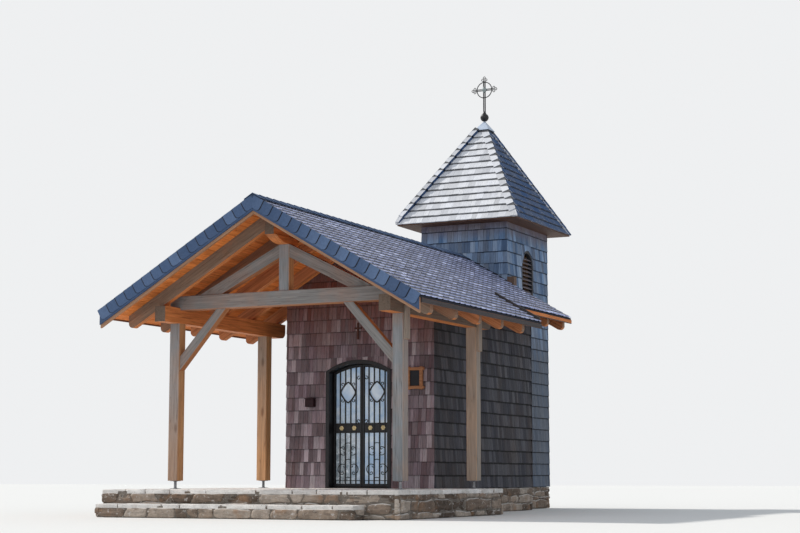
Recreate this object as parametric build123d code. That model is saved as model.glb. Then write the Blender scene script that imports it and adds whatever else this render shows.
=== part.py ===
from build123d import *
import math
import os

os.makedirs("parts", exist_ok=True)

# Driving dimensions, in millimetres. X runs along the front, Y into the building, Z up.
# Heights start at the ground. Depths start at the front face of the front posts.

# Masonry
step_rise = 200
step_going = 360
step_left = 2450
step_right = 1750
terrace_left = 2600
terrace_right = 2250
terrace_reach = 750
terrace_behind_posts = 180

# Porch frame
post_side = 170
post_outer = 1950
post_spacing = 2550
shoe_height = 120
shoe_plate = 120
shoe_plate_depth = 8
shoe_stem_radius = 20
purlin_width = 180
purlin_height = 230
purlin_reach = 400
purlin_end = 420
purlin_nose = 110
tie_height = 215
tie_depth = 200
tie_cog = 35
king_width = 170
ridge_purlin_width = 150
ridge_purlin_height = 175
corbel_height = 95
corbel_reach = 340
corbel_heel = 160
frame_setback = 25
strut_pitch = 26.4
strut_height = 190
brace_drop = 695
brace_height = 210
brace_run = 635
brace_width = 160
timber_chamfer = 8
cleat_thickness = 40
cleat_width = 120
cleat_length = 470
cleat_lap = 105

# Main roof
roof_pitch = 30.4
ridge_height = 4560
eaves_half = 2645
rear_eaves_half = 2075
verge_reach = 865
step_line = 3590
slate_depth = 50
board_depth = 50
board_setback = 40
rafter_depth = 200
rafter_width = 100
rafter_setback = 120
tail_setback = 145
tail_nose = 110
front_rafter_pitch = 840
rear_rafter_pitch = 750
eaves_notch = 22
ridge_notch = 52
verge_thickness = 20
verge_drop = 200
barge_drop = 240
barge_thickness = 40
fascia_thickness = 25
fascia_height = 62
batten_width = 40
batten_rise = 30
batten_lap = 230
cap_width = 140
cap_thickness = 30
mitre = 1

# Nave
facade_depth = 2380
nave_half = 1310
nave_rear = 6480
wall_thickness = 300

# Tower
tower_half = 850
tower_length = 2020
tower_wall = 200
tower_eaves = 5160
tower_overhang = 355
tower_rise = 2080
shell_thickness = 70
soffit_thickness = 30
soffit_setback = 30
tower_cap_rise = 200
tower_cap_lip = 30
corner_block_side = 130
corner_block_height = 130
ball_radius = 78
ball_steps = 6
ball_rise = 60
cross_height = 880
cross_bar = 26
cross_depth = 24
cross_arm = 235
cross_ring = 165
ring_sides = 24
cross_tip = 52
cross_heart = 70

# Louvres
louvre_width = 560
louvre_height = 835
louvre_drop = 445
louvre_rim = 45
louvre_depth = 75
louvre_setback = 15
slat_pitch = 75
slat_width = 70
slat_thickness = 10
slat_tilt = 40

# Doorway and gate
door_half = 575
door_spring_height = 1835
door_rise = 175
frame_face = 60
frame_depth = 190
frame_stand = 12
frame_rise = 125
gate_recess = 135
leaf_depth = 30
leaf_gap = 8
leaf_clearance = 24
meeting_gap = 5
stile = 30
lower_rail = 45
bar_side = 18
bar_count = 4
band_height = 865
band_depth = 155
band_rail = 22
lozenge_height = 1505
lozenge_half_width = 132
lozenge_half_height = 162
lozenge_bar = 14
scroll_bar = 12
scroll_radius = 100
scroll_curl = 34
scroll_heights = (450,)
hinge_heights = (240, 1500)
knuckle_height = 60
knuckle_play = 0.5
lug_lap = 35
pin_radius = 8
boss_radius = 36
boss_sides = 8
boss_offset = 1.2
glass_thickness = 6

# Small pieces on the front wall
case_width = 310
case_height = 355
case_depth = 60
case_border = 45
case_centre = 1005
case_foot = 1515
box_width = 165
box_height = 145
box_depth = 90
box_centre = 838
box_foot = 1280
wall_cross_height = 260
wall_cross_width = 120
wall_cross_bar = 28
wall_cross_depth = 22
wall_cross_gap = 320

# Levels and places that follow from them
slope = math.tan(math.radians(roof_pitch))
cosine = math.cos(math.radians(roof_pitch))
deck = 2 * step_rise
wall_lid = slate_depth + board_depth
rafter_bottom = wall_lid + rafter_depth
post_inner = post_outer - post_side
post_foot = deck + shoe_height
facade_rear = facade_depth + wall_thickness
nave_inner = nave_half - wall_thickness
verge_front = -verge_reach
board_front = verge_front + verge_thickness + barge_thickness
board_edge = eaves_half - board_setback
rear_board_edge = rear_eaves_half - board_setback
tower_front = nave_rear
tower_rear = tower_front + tower_length
tower_middle = tower_front + tower_length / 2
tower_top = tower_eaves - soffit_thickness
tower_peak = tower_eaves + tower_rise
terrace_rear = post_spacing + post_side + terrace_behind_posts
footprint_front = -terrace_reach - step_going
footprint_rear = tower_rear + tower_overhang
footprint_middle = (footprint_front + footprint_rear) / 2


def roof_z(x, depth=0):
    """Height of the roof plane at x, or of a layer that lies a depth below it."""
    return ridge_height - abs(x) * slope - depth / cosine


purlin_top = roof_z(post_outer, rafter_bottom) + eaves_notch
purlin_bottom = purlin_top - purlin_height
ridge_purlin_top = roof_z(ridge_purlin_width / 2, rafter_bottom) + ridge_notch
ridge_purlin_bottom = ridge_purlin_top - ridge_purlin_height
king_top = ridge_purlin_bottom - corbel_height
tie_bottom = purlin_top - tie_cog
tie_top = tie_bottom + tie_height


def keep(name, *solids):
    """Writes one node, moved so that the footprint's middle is the origin."""
    placed = [Pos(0, -footprint_middle, 0) * solid for solid in solids]
    whole = placed[0] if len(placed) == 1 else Compound(children=placed)
    export_step(whole, f"parts/{name}.step")


def block(x0, x1, y0, y1, z0, z1):
    size = Box(x1 - x0, y1 - y0, z1 - z0)
    return Pos((x0 + x1) / 2, (y0 + y1) / 2, (z0 + z1) / 2) * size


def timber(x0, x1, y0, y1, z0, z1, along):
    """A squared timber with its four long edges chamfered."""
    beam = block(x0, x1, y0, y1, z0, z1)
    return chamfer(beam.edges().filter_by(along), timber_chamfer)


def flip(shape):
    return mirror(shape, about=Plane.YZ)


def front_plane(y):
    """A plane across the building at y, with X and Z as its own axes."""
    return Plane(origin=(0, y, 0), x_dir=(1, 0, 0), z_dir=(0, -1, 0))


def side_plane(x, y=0):
    """A plane along the building at x, with Y and Z as its own axes."""
    return Plane(origin=(x, y, 0), x_dir=(0, 1, 0), z_dir=(1, 0, 0))


def across(profile, y0, y1):
    return extrude(front_plane(y0) * profile, amount=y0 - y1)


def outline(*points):
    return make_face(Polyline(*points, close=True))


def arch(half, foot, spring, crown):
    """A flat outline with straight jambs and a segmental head."""
    jambs = Polyline((-half, spring), (-half, foot), (half, foot), (half, spring))
    head = ThreePointArc((half, spring), (0, crown), (-half, spring))
    return make_face([*jambs.edges(), head])


def sheet(x0, x1, y0, y1, top, bottom):
    """A layer of the right-hand slope, between two depths below its surface."""
    profile = outline(
        (x0, roof_z(x0, top)),
        (x1, roof_z(x1, top)),
        (x1, roof_z(x1, bottom)),
        (x0, roof_z(x0, bottom)),
    )
    return across(profile, y0, y1)


# Terrace, its one lower step, and the masonry under the nave and the tower.
keep("terrace", block(-terrace_left, terrace_right, -terrace_reach, terrace_rear, 0, deck))
keep("lower_step", block(-step_left, step_right, footprint_front, -terrace_reach, 0, step_rise))
keep("nave_plinth", block(-nave_half, nave_half, terrace_rear, nave_rear, 0, deck))
keep("tower_plinth", block(-tower_half, tower_half, nave_rear, tower_rear, 0, deck))

# Posts on steel shoes.
def post(y0):
    return timber(post_inner, post_outer, y0, y0 + post_side, post_foot, purlin_bottom, Axis.Z)


def shoe(x, y):
    plate = Box(shoe_plate, shoe_plate, shoe_plate_depth)
    foot = Pos(x, y, deck + shoe_plate_depth / 2) * plate
    head = Pos(x, y, post_foot - shoe_plate_depth / 2) * plate
    stem = Pos(x, y, deck + shoe_height / 2) * Cylinder(shoe_stem_radius, shoe_height)
    return foot + head + stem


keep("front_posts", post(0), flip(post(0)))
keep("rear_posts", post(post_spacing), flip(post(post_spacing)))
post_x = post_outer - post_side / 2
post_places = (post_side / 2, post_spacing + post_side / 2)
keep("post_shoes", *[shoe(x, y) for x in (-post_x, post_x) for y in post_places])

# Purlins: the eaves pair on the posts, with a rounded rear end, and the ridge purlin.
purlin_rear = post_spacing + post_side + purlin_end
purlin_outline = Polyline(
    (purlin_rear, purlin_bottom + purlin_nose),
    (purlin_rear, purlin_top),
    (-purlin_reach, purlin_top),
    (-purlin_reach, purlin_bottom),
    (purlin_rear - purlin_nose, purlin_bottom),
)
nose_turn = purlin_nose * (1 - math.sqrt(0.5))
purlin_curve = ThreePointArc(
    (purlin_rear - purlin_nose, purlin_bottom),
    (purlin_rear - nose_turn, purlin_bottom + nose_turn),
    (purlin_rear, purlin_bottom + purlin_nose),
)
purlin_side = make_face([*purlin_outline.edges(), purlin_curve])
purlin = extrude(side_plane(post_outer - purlin_width) * purlin_side, purlin_width)
ridge_purlin = timber(
    -ridge_purlin_width / 2,
    ridge_purlin_width / 2,
    -purlin_reach,
    nave_rear,
    ridge_purlin_bottom,
    ridge_purlin_top,
    Axis.Y,
)
keep("eaves_purlin_right", purlin)
keep("eaves_purlin_left", flip(purlin))
keep("ridge_purlin", ridge_purlin)


# Rafters with rounded tails, notched over the purlins.
def rafter(tail, y):
    sides = Polyline(
        (tail, roof_z(tail, rafter_bottom - tail_nose)),
        (tail, roof_z(tail, wall_lid)),
        (0, roof_z(0, wall_lid)),
        (0, roof_z(0, rafter_bottom)),
        (tail - tail_nose, roof_z(tail - tail_nose, rafter_bottom)),
    )
    bulge_x = tail - tail_nose * 0.3
    bulge_z = roof_z(bulge_x, rafter_bottom - tail_nose * 0.3)
    curve = ThreePointArc(sides @ 1, (bulge_x, bulge_z), sides @ 0)
    profile = make_face([*sides.edges(), curve])
    beam = across(profile, y - rafter_width / 2, y + rafter_width / 2)
    return beam - purlin - ridge_purlin


first_rafter = rafter_width / 2 - purlin_reach + rafter_setback
front_count = int((step_line - first_rafter) / front_rafter_pitch) + 1
front_rafters = [first_rafter + front_rafter_pitch * n for n in range(front_count)]
last_rafter = nave_rear - rafter_width / 2
rear_count = int((last_rafter - step_line) / rear_rafter_pitch)
rear_rafters = [last_rafter - rear_rafter_pitch * n for n in range(rear_count + 1)]
rafters = [rafter(eaves_half - tail_setback, y) for y in front_rafters]
rafters += [rafter(rear_eaves_half - tail_setback, y) for y in rear_rafters]
keep("rafters_right", *rafters)
keep("rafters_left", *[flip(beam) for beam in rafters])

# King post truss over the front posts, cogged over both eaves purlins.
tie_beam = timber(-post_outer, post_outer, 0, tie_depth, tie_bottom, tie_top, Axis.X)
tie_beam = tie_beam - purlin - flip(purlin)
king_half = king_width / 2
frame_rear = tie_depth - frame_setback
king_post = timber(-king_half, king_half, frame_setback, frame_rear, tie_top, king_top, Axis.Z)
strut_slope = math.tan(math.radians(strut_pitch))
strut_run = (king_top - tie_top) / strut_slope
strut_low_run = (king_top - strut_height - tie_top) / strut_slope
strut = across(
    outline(
        (king_half, king_top),
        (king_half, king_top - strut_height),
        (king_half + strut_low_run, tie_top),
        (king_half + strut_run, tie_top),
    ),
    frame_setback + 10,
    frame_rear - 10,
)
brace = across(
    outline(
        (post_inner, tie_bottom - brace_drop - brace_height),
        (post_inner, tie_bottom - brace_drop),
        (post_inner - brace_run, tie_bottom),
        (post_inner - brace_run - brace_width, tie_bottom),
    ),
    frame_setback,
    post_side - frame_setback,
)
corbel_line = Polyline(
    (-corbel_reach, ridge_purlin_bottom),
    (tie_depth + corbel_heel, ridge_purlin_bottom),
    (tie_depth + corbel_heel / 3, king_top),
    (-corbel_reach / 8, king_top),
)
corbel_curve = ThreePointArc(
    (-corbel_reach / 8, king_top),
    (-corbel_reach * 0.65, king_top + corbel_height * 0.4),
    (-corbel_reach, ridge_purlin_bottom),
)
corbel_side = make_face([*corbel_line.edges(), corbel_curve])
keep("tie_beam", tie_beam)
keep("king_post", king_post)
keep("struts", strut, flip(strut))
keep("knee_braces", brace, flip(brace))
keep("ridge_corbel", extrude(side_plane(-king_half) * corbel_side, king_width))


def cleat(y0):
    top = purlin_bottom + cleat_lap
    y = y0 + frame_setback
    return block(post_outer, post_outer + cleat_thickness, y, y + cleat_width, top - cleat_length, top)


keep("post_cleats", cleat(0), cleat(post_spacing))

# Nave walls, cut for the timbers that they carry.
def gable(y0, y1):
    eaves = roof_z(nave_half, wall_lid)
    profile = outline(
        (-nave_half, deck),
        (nave_half, deck),
        (nave_half, eaves),
        (0, roof_z(0, wall_lid)),
        (-nave_half, eaves),
    )
    return across(profile, y0, y1) - ridge_purlin


door_spring = deck + door_spring_height
door_crown = door_spring + door_rise
doorway = across(arch(door_half, 0, door_spring, door_crown), facade_depth - 10, facade_rear + 10)
facade = gable(facade_depth, facade_rear) - doorway
pier = block(door_half, nave_half, facade_depth, facade_rear, deck, door_spring)
keep("front_wall_left", flip(pier))
keep("front_wall_right", pier)
keep("front_wall_head", facade - pier - flip(pier))

side_profile = outline(
    (nave_inner, deck),
    (nave_half, deck),
    (nave_half, roof_z(nave_half, wall_lid)),
    (nave_inner, roof_z(nave_inner, wall_lid)),
)
side_wall = across(side_profile, facade_rear, nave_rear - wall_thickness)
rear_wall = gable(nave_rear - wall_thickness, nave_rear)
for beam in rafters:
    side_wall = side_wall - beam
    rear_wall = rear_wall - beam - flip(beam)
keep("right_wall", side_wall)
keep("left_wall", flip(side_wall))
keep("rear_wall", rear_wall)

# Tower walls, with a round-headed louvre opening in each side.
tower_inner = tower_half - tower_wall
louvre_top = tower_eaves - louvre_drop


def louvre_outline(inset):
    half = louvre_width / 2 - inset
    spring = louvre_top - louvre_width / 2
    return arch(half, louvre_top - louvre_height + inset, spring, spring + half)


hole = extrude(side_plane(tower_inner - 10, tower_middle) * louvre_outline(0), tower_wall + 20)
tower_side = block(tower_inner, tower_half, tower_front, tower_rear, deck, tower_top) - hole
tower_end = block(-tower_inner, tower_inner, tower_front, tower_front + tower_wall, deck, tower_top)
keep("tower_wall_right", tower_side)
keep("tower_wall_left", flip(tower_side))
keep("tower_wall_front", tower_end)
keep("tower_wall_rear", Pos(0, tower_length - tower_wall, 0) * tower_end)

# Louvres: a frame in each opening, with tilted slats let into it.
louvre_plane = side_plane(tower_half - louvre_setback - louvre_depth, tower_middle)
rim = louvre_outline(0) - louvre_outline(louvre_rim)
louvre = extrude(louvre_plane * rim, louvre_depth)
slat_space = extrude(louvre_plane * louvre_outline(louvre_rim - 5), louvre_depth)
slat_x = tower_half - louvre_setback - louvre_depth / 2
slat_count = int((louvre_height - 2 * louvre_rim) / slat_pitch)
for index in range(slat_count):
    slat_z = louvre_top - louvre_height + louvre_rim + slat_pitch * (index + 0.5)
    slat = Rot(0, slat_tilt, 0) * Box(slat_width, louvre_width, slat_thickness)
    louvre = louvre + (slat_space & (Pos(slat_x, tower_middle, slat_z) * slat))
keep("louvre_right", louvre)
keep("louvre_left", flip(louvre))

# Roof layers: boards on the rafters, slates on the boards, a batten where the eaves step in.
boards = sheet(0, board_edge, board_front, step_line, slate_depth, wall_lid)
boards = boards + sheet(0, rear_board_edge, step_line, nave_rear, slate_depth, wall_lid)
batten_start = rear_eaves_half - batten_lap
batten = sheet(batten_start, board_edge, step_line - batten_width, step_line, -batten_rise, slate_depth)
slates = sheet(0, eaves_half, verge_front, step_line, 0, slate_depth)
slates = slates + sheet(0, rear_eaves_half, step_line, nave_rear, 0, slate_depth)
slates = slates - batten
keep("roof_boards_right", boards)
keep("roof_boards_left", flip(boards))
keep("roof_slates_right", slates)
keep("roof_slates_left", flip(slates))
keep("step_battens", batten, flip(batten))

# Barge boards, the slates that hang over them on the front verge, and the ridge caps.
verge_rear = verge_front + verge_thickness
verge = sheet(mitre, board_edge, verge_front - verge_thickness, verge_front, 0, verge_drop)
verge = verge + sheet(mitre, board_edge, verge_front, verge_rear, slate_depth, verge_drop)
barge = sheet(mitre, board_edge, verge_rear, board_front, slate_depth, barge_drop)
cap = sheet(mitre, cap_width, verge_front - verge_thickness, nave_rear, -cap_thickness, 0)
keep("verge_slates", verge, flip(verge))
keep("barge_boards", barge, flip(barge))
keep("ridge_cap", cap, flip(cap))


# Eaves boards across the rafter tails, on both parts of the slope.
def eaves_board(edge, y0, y1):
    back = edge - fascia_thickness
    foot = roof_z(edge, slate_depth) - fascia_height
    profile = outline(
        (back, roof_z(back, slate_depth)),
        (edge, roof_z(edge, slate_depth)),
        (edge, foot),
        (back, foot),
    )
    return across(profile, y0, y1)


fascia = eaves_board(board_edge + fascia_thickness, board_front, step_line)
rear_fascia = eaves_board(rear_board_edge + fascia_thickness, step_line, nave_rear)
keep("eaves_boards_right", fascia, rear_fascia)
keep("eaves_boards_left", flip(fascia), flip(rear_fascia))

# Tower roof: a hollow pyramid over a boarded soffit, cut off level under its cap.
roof_x = tower_half + tower_overhang
roof_y = tower_length / 2 + tower_overhang


def pyramid(x_half, y_half, foot, peak):
    """Two crossed gables make a pyramid on a rectangle."""
    front_gable = outline((-x_half, foot), (x_half, foot), (0, peak))
    side_gable = outline((-y_half, foot), (y_half, foot), (0, peak))
    first = across(front_gable, tower_middle - y_half, tower_middle + y_half)
    second = extrude(side_plane(-x_half, tower_middle) * side_gable, 2 * x_half)
    return first & second


cap_foot = tower_peak - tower_cap_rise
hollow_share = (roof_x - shell_thickness) / roof_x
hollow = pyramid(
    roof_x * hollow_share,
    roof_y * hollow_share,
    tower_eaves,
    tower_eaves + tower_rise * hollow_share,
)
roof_space = block(-roof_x, roof_x, tower_front - roof_y, tower_rear + roof_y, tower_eaves, cap_foot)
tower_roof = (pyramid(roof_x, roof_y, tower_eaves, tower_peak) & roof_space) - hollow
soffit = block(
    soffit_setback - roof_x,
    roof_x - soffit_setback,
    tower_middle - roof_y + soffit_setback,
    tower_middle + roof_y - soffit_setback,
    tower_top,
    tower_eaves,
)
keep("tower_roof", tower_roof)
keep("tower_soffit", soffit)
cap_share = tower_cap_rise / tower_rise
tower_cap = pyramid(
    roof_x * cap_share + tower_cap_lip,
    roof_y * cap_share + tower_cap_lip,
    cap_foot,
    tower_peak,
)
tower_cap = tower_cap - hollow

# Finial: a ball and a ringed cross on one spike.
ball_centre = tower_peak + ball_rise
cross_top = tower_peak + cross_height
cross_centre = cross_top - cross_arm - cross_tip
cross = Pos(0, (ball_centre + cross_top) / 2) * Rectangle(cross_bar, cross_top - ball_centre)
cross += Pos(0, cross_centre) * Rectangle(2 * cross_arm, cross_bar)
ring = RegularPolygon(cross_ring, ring_sides) - RegularPolygon(cross_ring - cross_bar, ring_sides)
cross += Pos(0, cross_centre) * ring
for tip in ((cross_arm, cross_centre), (-cross_arm, cross_centre), (0, cross_top - cross_tip)):
    cross += Pos(*tip) * Rot(0, 0, 45) * Rectangle(cross_tip, cross_tip)
cross += Pos(0, cross_centre) * Rot(0, 0, 45) * Rectangle(cross_heart, cross_heart)
finial = across(cross, tower_middle - cross_depth / 2, tower_middle + cross_depth / 2)
ball_turns = [math.pi * step / ball_steps for step in range(ball_steps + 1)]
ball_line = [(ball_radius * math.sin(turn), 0, ball_radius * math.cos(turn)) for turn in ball_turns]
ball_half = make_face(Polyline(*ball_line, close=True))
finial = finial + Pos(0, tower_middle, ball_centre) * revolve(ball_half, Axis.Z)
keep("tower_cap", tower_cap - finial)
keep("finial", finial)

# A timber block in the corner between the tower and the roof's rear edge.
block_foot = roof_z(tower_half, rafter_bottom)
corner_block = block(
    tower_half,
    tower_half + corner_block_side,
    tower_front,
    tower_front + corner_block_side,
    block_foot,
    roof_z(tower_half) + corner_block_height / 2,
)
keep("corner_block", corner_block)

# Door frame: a steel lining with a sill, and the fixed halves of the hinges.
frame_front = facade_depth - frame_stand
frame_back = facade_depth + frame_depth
inner_half = door_half - frame_face
frame_crown = door_crown - frame_face
frame_spring = frame_crown - frame_rise
axis_x = inner_half - leaf_gap / 2
axis_y = frame_back + pin_radius + 3
door_frame = across(arch(door_half, deck, door_spring, door_crown), frame_front, frame_back)
door_frame -= across(arch(inner_half, 0, frame_spring, frame_crown), frame_front - 5, frame_back + 5)
sill = block(-inner_half, inner_half, frame_front, frame_back, deck, deck + frame_stand)
door_frame = door_frame + sill


def hinge_pin(z, far_x, rear_y, front_y):
    """One knuckle of a hinge, from z up, with the lug that carries it."""
    middle = z + knuckle_height / 2
    pin = Pos(axis_x, axis_y, middle) * Cylinder(pin_radius, knuckle_height)
    lug = block(min(axis_x, far_x), max(axis_x, far_x), front_y, rear_y, z, z + knuckle_height)
    return pin + lug


for height in hinge_heights:
    fixed = hinge_pin(deck + height - knuckle_height, door_half - 20, axis_y, frame_back)
    door_frame = door_frame + fixed + flip(fixed)
keep("door_frame", door_frame)

# Gate leaves: a border of flat bar, upright bars, a band, a lozenge and scrolls.
leaf_front = facade_depth + gate_recess
leaf_rear = leaf_front + leaf_depth
leaf_foot = deck + leaf_clearance
leaf_outer = inner_half - leaf_gap
leaf_middle = (meeting_gap + leaf_outer) / 2
head_radius = (inner_half**2 + frame_rise**2) / (2 * frame_rise)
head_centre = frame_crown - head_radius


def head_z(x, inset):
    return head_centre + math.sqrt((head_radius - inset) ** 2 - x**2)


def leaf(inset, foot):
    """The right leaf's outline, drawn in by an inset."""
    x0 = meeting_gap + inset
    x1 = leaf_outer - inset
    lower = leaf_gap + inset
    corners = ((x0, head_z(x0, lower)), (x1, head_z(x1, lower)))
    sides = Polyline(corners[0], (x0, foot), (x1, foot), corners[1])
    head = ThreePointArc(corners[1], (leaf_middle, head_z(leaf_middle, lower)), corners[0])
    return make_face([*sides.edges(), head])


def lozenge(grow):
    """A lozenge with slightly bowed sides."""
    w = lozenge_half_width + grow
    h = lozenge_half_height + grow
    tips = ((w, 0), (0, h), (-w, 0), (0, -h))
    arcs = []
    for n in range(4):
        start = tips[n]
        end = tips[(n + 1) % 4]
        middle = ((start[0] + end[0]) * 0.58, (start[1] + end[1]) * 0.58)
        arcs.append(ThreePointArc(start, middle, end))
    return Pos(leaf_middle, deck + lozenge_height) * make_face(arcs)


def scroll(radius, curl):
    """A C scroll: a wide arc with a tighter curl at both ends."""
    reach = radius - curl
    turn = math.radians(100)
    lines = [CenterArc((0, 0), radius, -100, 200)]
    lines.append(CenterArc((reach * math.cos(turn), reach * math.sin(turn)), curl, 100, 200))
    lines.append(CenterArc((reach * math.cos(turn), -reach * math.sin(turn)), curl, 60, 200))
    return trace(lines, scroll_bar)


bar_plane_front = leaf_front + (leaf_depth - bar_side) / 2
bar_plane_rear = bar_plane_front + bar_side
grille = across(leaf(0, leaf_foot) - leaf(stile, leaf_foot + lower_rail), leaf_front, leaf_rear)
bar_pitch = (leaf_outer - meeting_gap - stile) / (bar_count + 1)
bars = []
for index in range(1, bar_count + 1):
    bar_x = meeting_gap + stile / 2 + index * bar_pitch
    height = frame_crown - leaf_foot
    bars.append(Pos(bar_x, leaf_foot + height / 2) * Rectangle(bar_side, height))
bar_profile = Sketch() + bars
bar_profile = (bar_profile & leaf(stile / 2, leaf_foot + lower_rail / 2)) - lozenge(0)
grille = grille + across(bar_profile, bar_plane_front, bar_plane_rear)
ring = lozenge(0) - lozenge(-lozenge_bar)
grille = grille + across(ring, bar_plane_front - 3, bar_plane_rear + 3)
band_foot = deck + band_height
band = Pos(leaf_middle, band_foot + band_depth / 2) * Rectangle(leaf_outer - meeting_gap - stile, band_depth)
band_hollow = Rectangle(leaf_outer - meeting_gap - stile, band_depth - 2 * band_rail)
rails = band - Pos(leaf_middle, band_foot + band_depth / 2) * band_hollow
grille = grille + across(band, bar_plane_rear - 4, bar_plane_rear)
grille = grille + across(rails, bar_plane_front - 3, bar_plane_rear)
for height in scroll_heights:
    curl = Pos(leaf_middle - scroll_radius, deck + height) * scroll(scroll_radius, scroll_curl)
    facing = Pos(leaf_middle + scroll_radius, deck + height) * Rot(0, 0, 180) * scroll(scroll_radius, scroll_curl)
    grille = grille + across(curl, bar_plane_front - 2, bar_plane_rear)
    grille = grille + across(facing, bar_plane_front - 2, bar_plane_rear)
for height in hinge_heights:
    foot = deck + height + knuckle_play
    grille = grille + hinge_pin(foot, leaf_outer - lug_lap, axis_y, leaf_rear)
keep("gate_grille_right", grille)
keep("gate_grille_left", flip(grille))

glass_outline = leaf(stile + 8, leaf_foot + lower_rail)
glass = across(glass_outline, bar_plane_rear, bar_plane_rear + glass_thickness) - grille
keep("gate_glass_right", glass)
keep("gate_glass_left", flip(glass))

bosses = []
for offset in (-boss_offset, boss_offset):
    spot = Pos(leaf_middle + offset * bar_pitch, band_foot + band_depth / 2)
    plate = across(spot * RegularPolygon(boss_radius, boss_sides), leaf_front, bar_plane_front)
    stud = RegularPolygon(boss_radius * 0.55, boss_sides)
    stud = across(spot * stud, leaf_front - 6, leaf_front)
    bosses.append(plate + stud)
keep("gate_bosses_right", *bosses)
keep("gate_bosses_left", *[flip(boss) for boss in bosses])

# Small pieces fixed to the front wall.
def on_wall(centre, foot, width, height, depth):
    x0 = centre - width / 2
    z0 = deck + foot
    return block(x0, x0 + width, facade_depth - depth, facade_depth, z0, z0 + height)


panel = on_wall(
    case_centre,
    case_foot + case_border,
    case_width - 2 * case_border,
    case_height - 2 * case_border,
    case_depth,
)
case = on_wall(case_centre, case_foot, case_width, case_height, case_depth)
keep("notice_case", case - Pos(0, -case_depth / 2, 0) * panel)
keep("offering_box", on_wall(-box_centre, box_foot, box_width, box_height, box_depth))
upright_foot = door_crown - deck + wall_cross_gap
upright = on_wall(0, upright_foot, wall_cross_bar, wall_cross_height, wall_cross_depth)
arm_foot = upright_foot + wall_cross_height * 0.62
arm = on_wall(0, arm_foot, wall_cross_width, wall_cross_bar, wall_cross_depth)
keep("wall_cross", upright + arm)
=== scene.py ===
import bpy
import numpy as np
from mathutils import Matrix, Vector


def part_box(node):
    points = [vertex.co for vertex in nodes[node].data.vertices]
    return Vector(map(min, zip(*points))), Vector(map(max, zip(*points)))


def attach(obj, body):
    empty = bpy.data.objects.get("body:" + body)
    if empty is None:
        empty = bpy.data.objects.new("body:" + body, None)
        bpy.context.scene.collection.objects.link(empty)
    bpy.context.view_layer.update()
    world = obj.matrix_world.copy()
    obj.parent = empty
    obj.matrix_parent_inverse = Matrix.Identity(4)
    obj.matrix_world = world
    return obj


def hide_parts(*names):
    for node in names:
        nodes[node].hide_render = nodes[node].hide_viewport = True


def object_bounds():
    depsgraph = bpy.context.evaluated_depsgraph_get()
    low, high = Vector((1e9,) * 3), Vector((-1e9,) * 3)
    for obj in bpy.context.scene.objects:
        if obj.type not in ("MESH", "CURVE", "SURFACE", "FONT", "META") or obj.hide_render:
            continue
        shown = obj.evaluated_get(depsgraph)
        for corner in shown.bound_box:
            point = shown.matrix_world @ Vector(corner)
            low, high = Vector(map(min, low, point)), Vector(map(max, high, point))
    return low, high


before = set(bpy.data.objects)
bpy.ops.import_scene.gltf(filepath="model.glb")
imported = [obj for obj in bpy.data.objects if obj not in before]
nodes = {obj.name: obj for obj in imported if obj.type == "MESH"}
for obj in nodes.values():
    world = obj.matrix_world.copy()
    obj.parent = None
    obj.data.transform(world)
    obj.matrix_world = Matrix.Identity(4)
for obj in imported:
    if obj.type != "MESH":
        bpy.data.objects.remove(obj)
cadBounds = [list(corner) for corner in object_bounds()]

roofTilt = np.radians(30.4)
tiltSin = np.sin(roofTilt)
tiltCos = np.cos(roofTilt)


def screenColour(red, green, blue):
    # 0-255 screen values to the linear values that a shader reads
    c = np.array((red, green, blue)) / 255
    linear = np.where(c <= 0.04045, c / 12.92, ((c + 0.055) / 1.055) ** 2.4)
    return (*linear.tolist(), 1.0)


def unit(vector):
    # the vector divided by its length
    vector = np.asarray(vector, float)
    return vector / np.linalg.norm(vector)


def ripple(points, size, seed, waves=7):
    # a smooth bumpy value near -1..1 at each point: the mean of sine waves that run in
    # random directions with wavelengths round the given size
    source = np.random.default_rng(seed)
    heading = source.normal(size=(waves, 3))
    heading /= np.linalg.norm(heading, axis=1)[:, None]
    pace = 2 * np.pi / (size * source.uniform(0.6, 1.6, waves))
    shift = source.uniform(0, 2 * np.pi, waves)
    return np.sin(points @ (heading * pace[:, None]).T + shift).sum(-1) / np.sqrt(waves)


def backwards(loops, sizes):
    # each face's corners in the opposite order, so that it looks the other way
    starts = np.cumsum(sizes) - sizes
    owner = np.repeat(np.arange(len(sizes)), sizes)
    return loops[2 * starts[owner] + sizes[owner] - 1 - np.arange(len(loops))]


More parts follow.
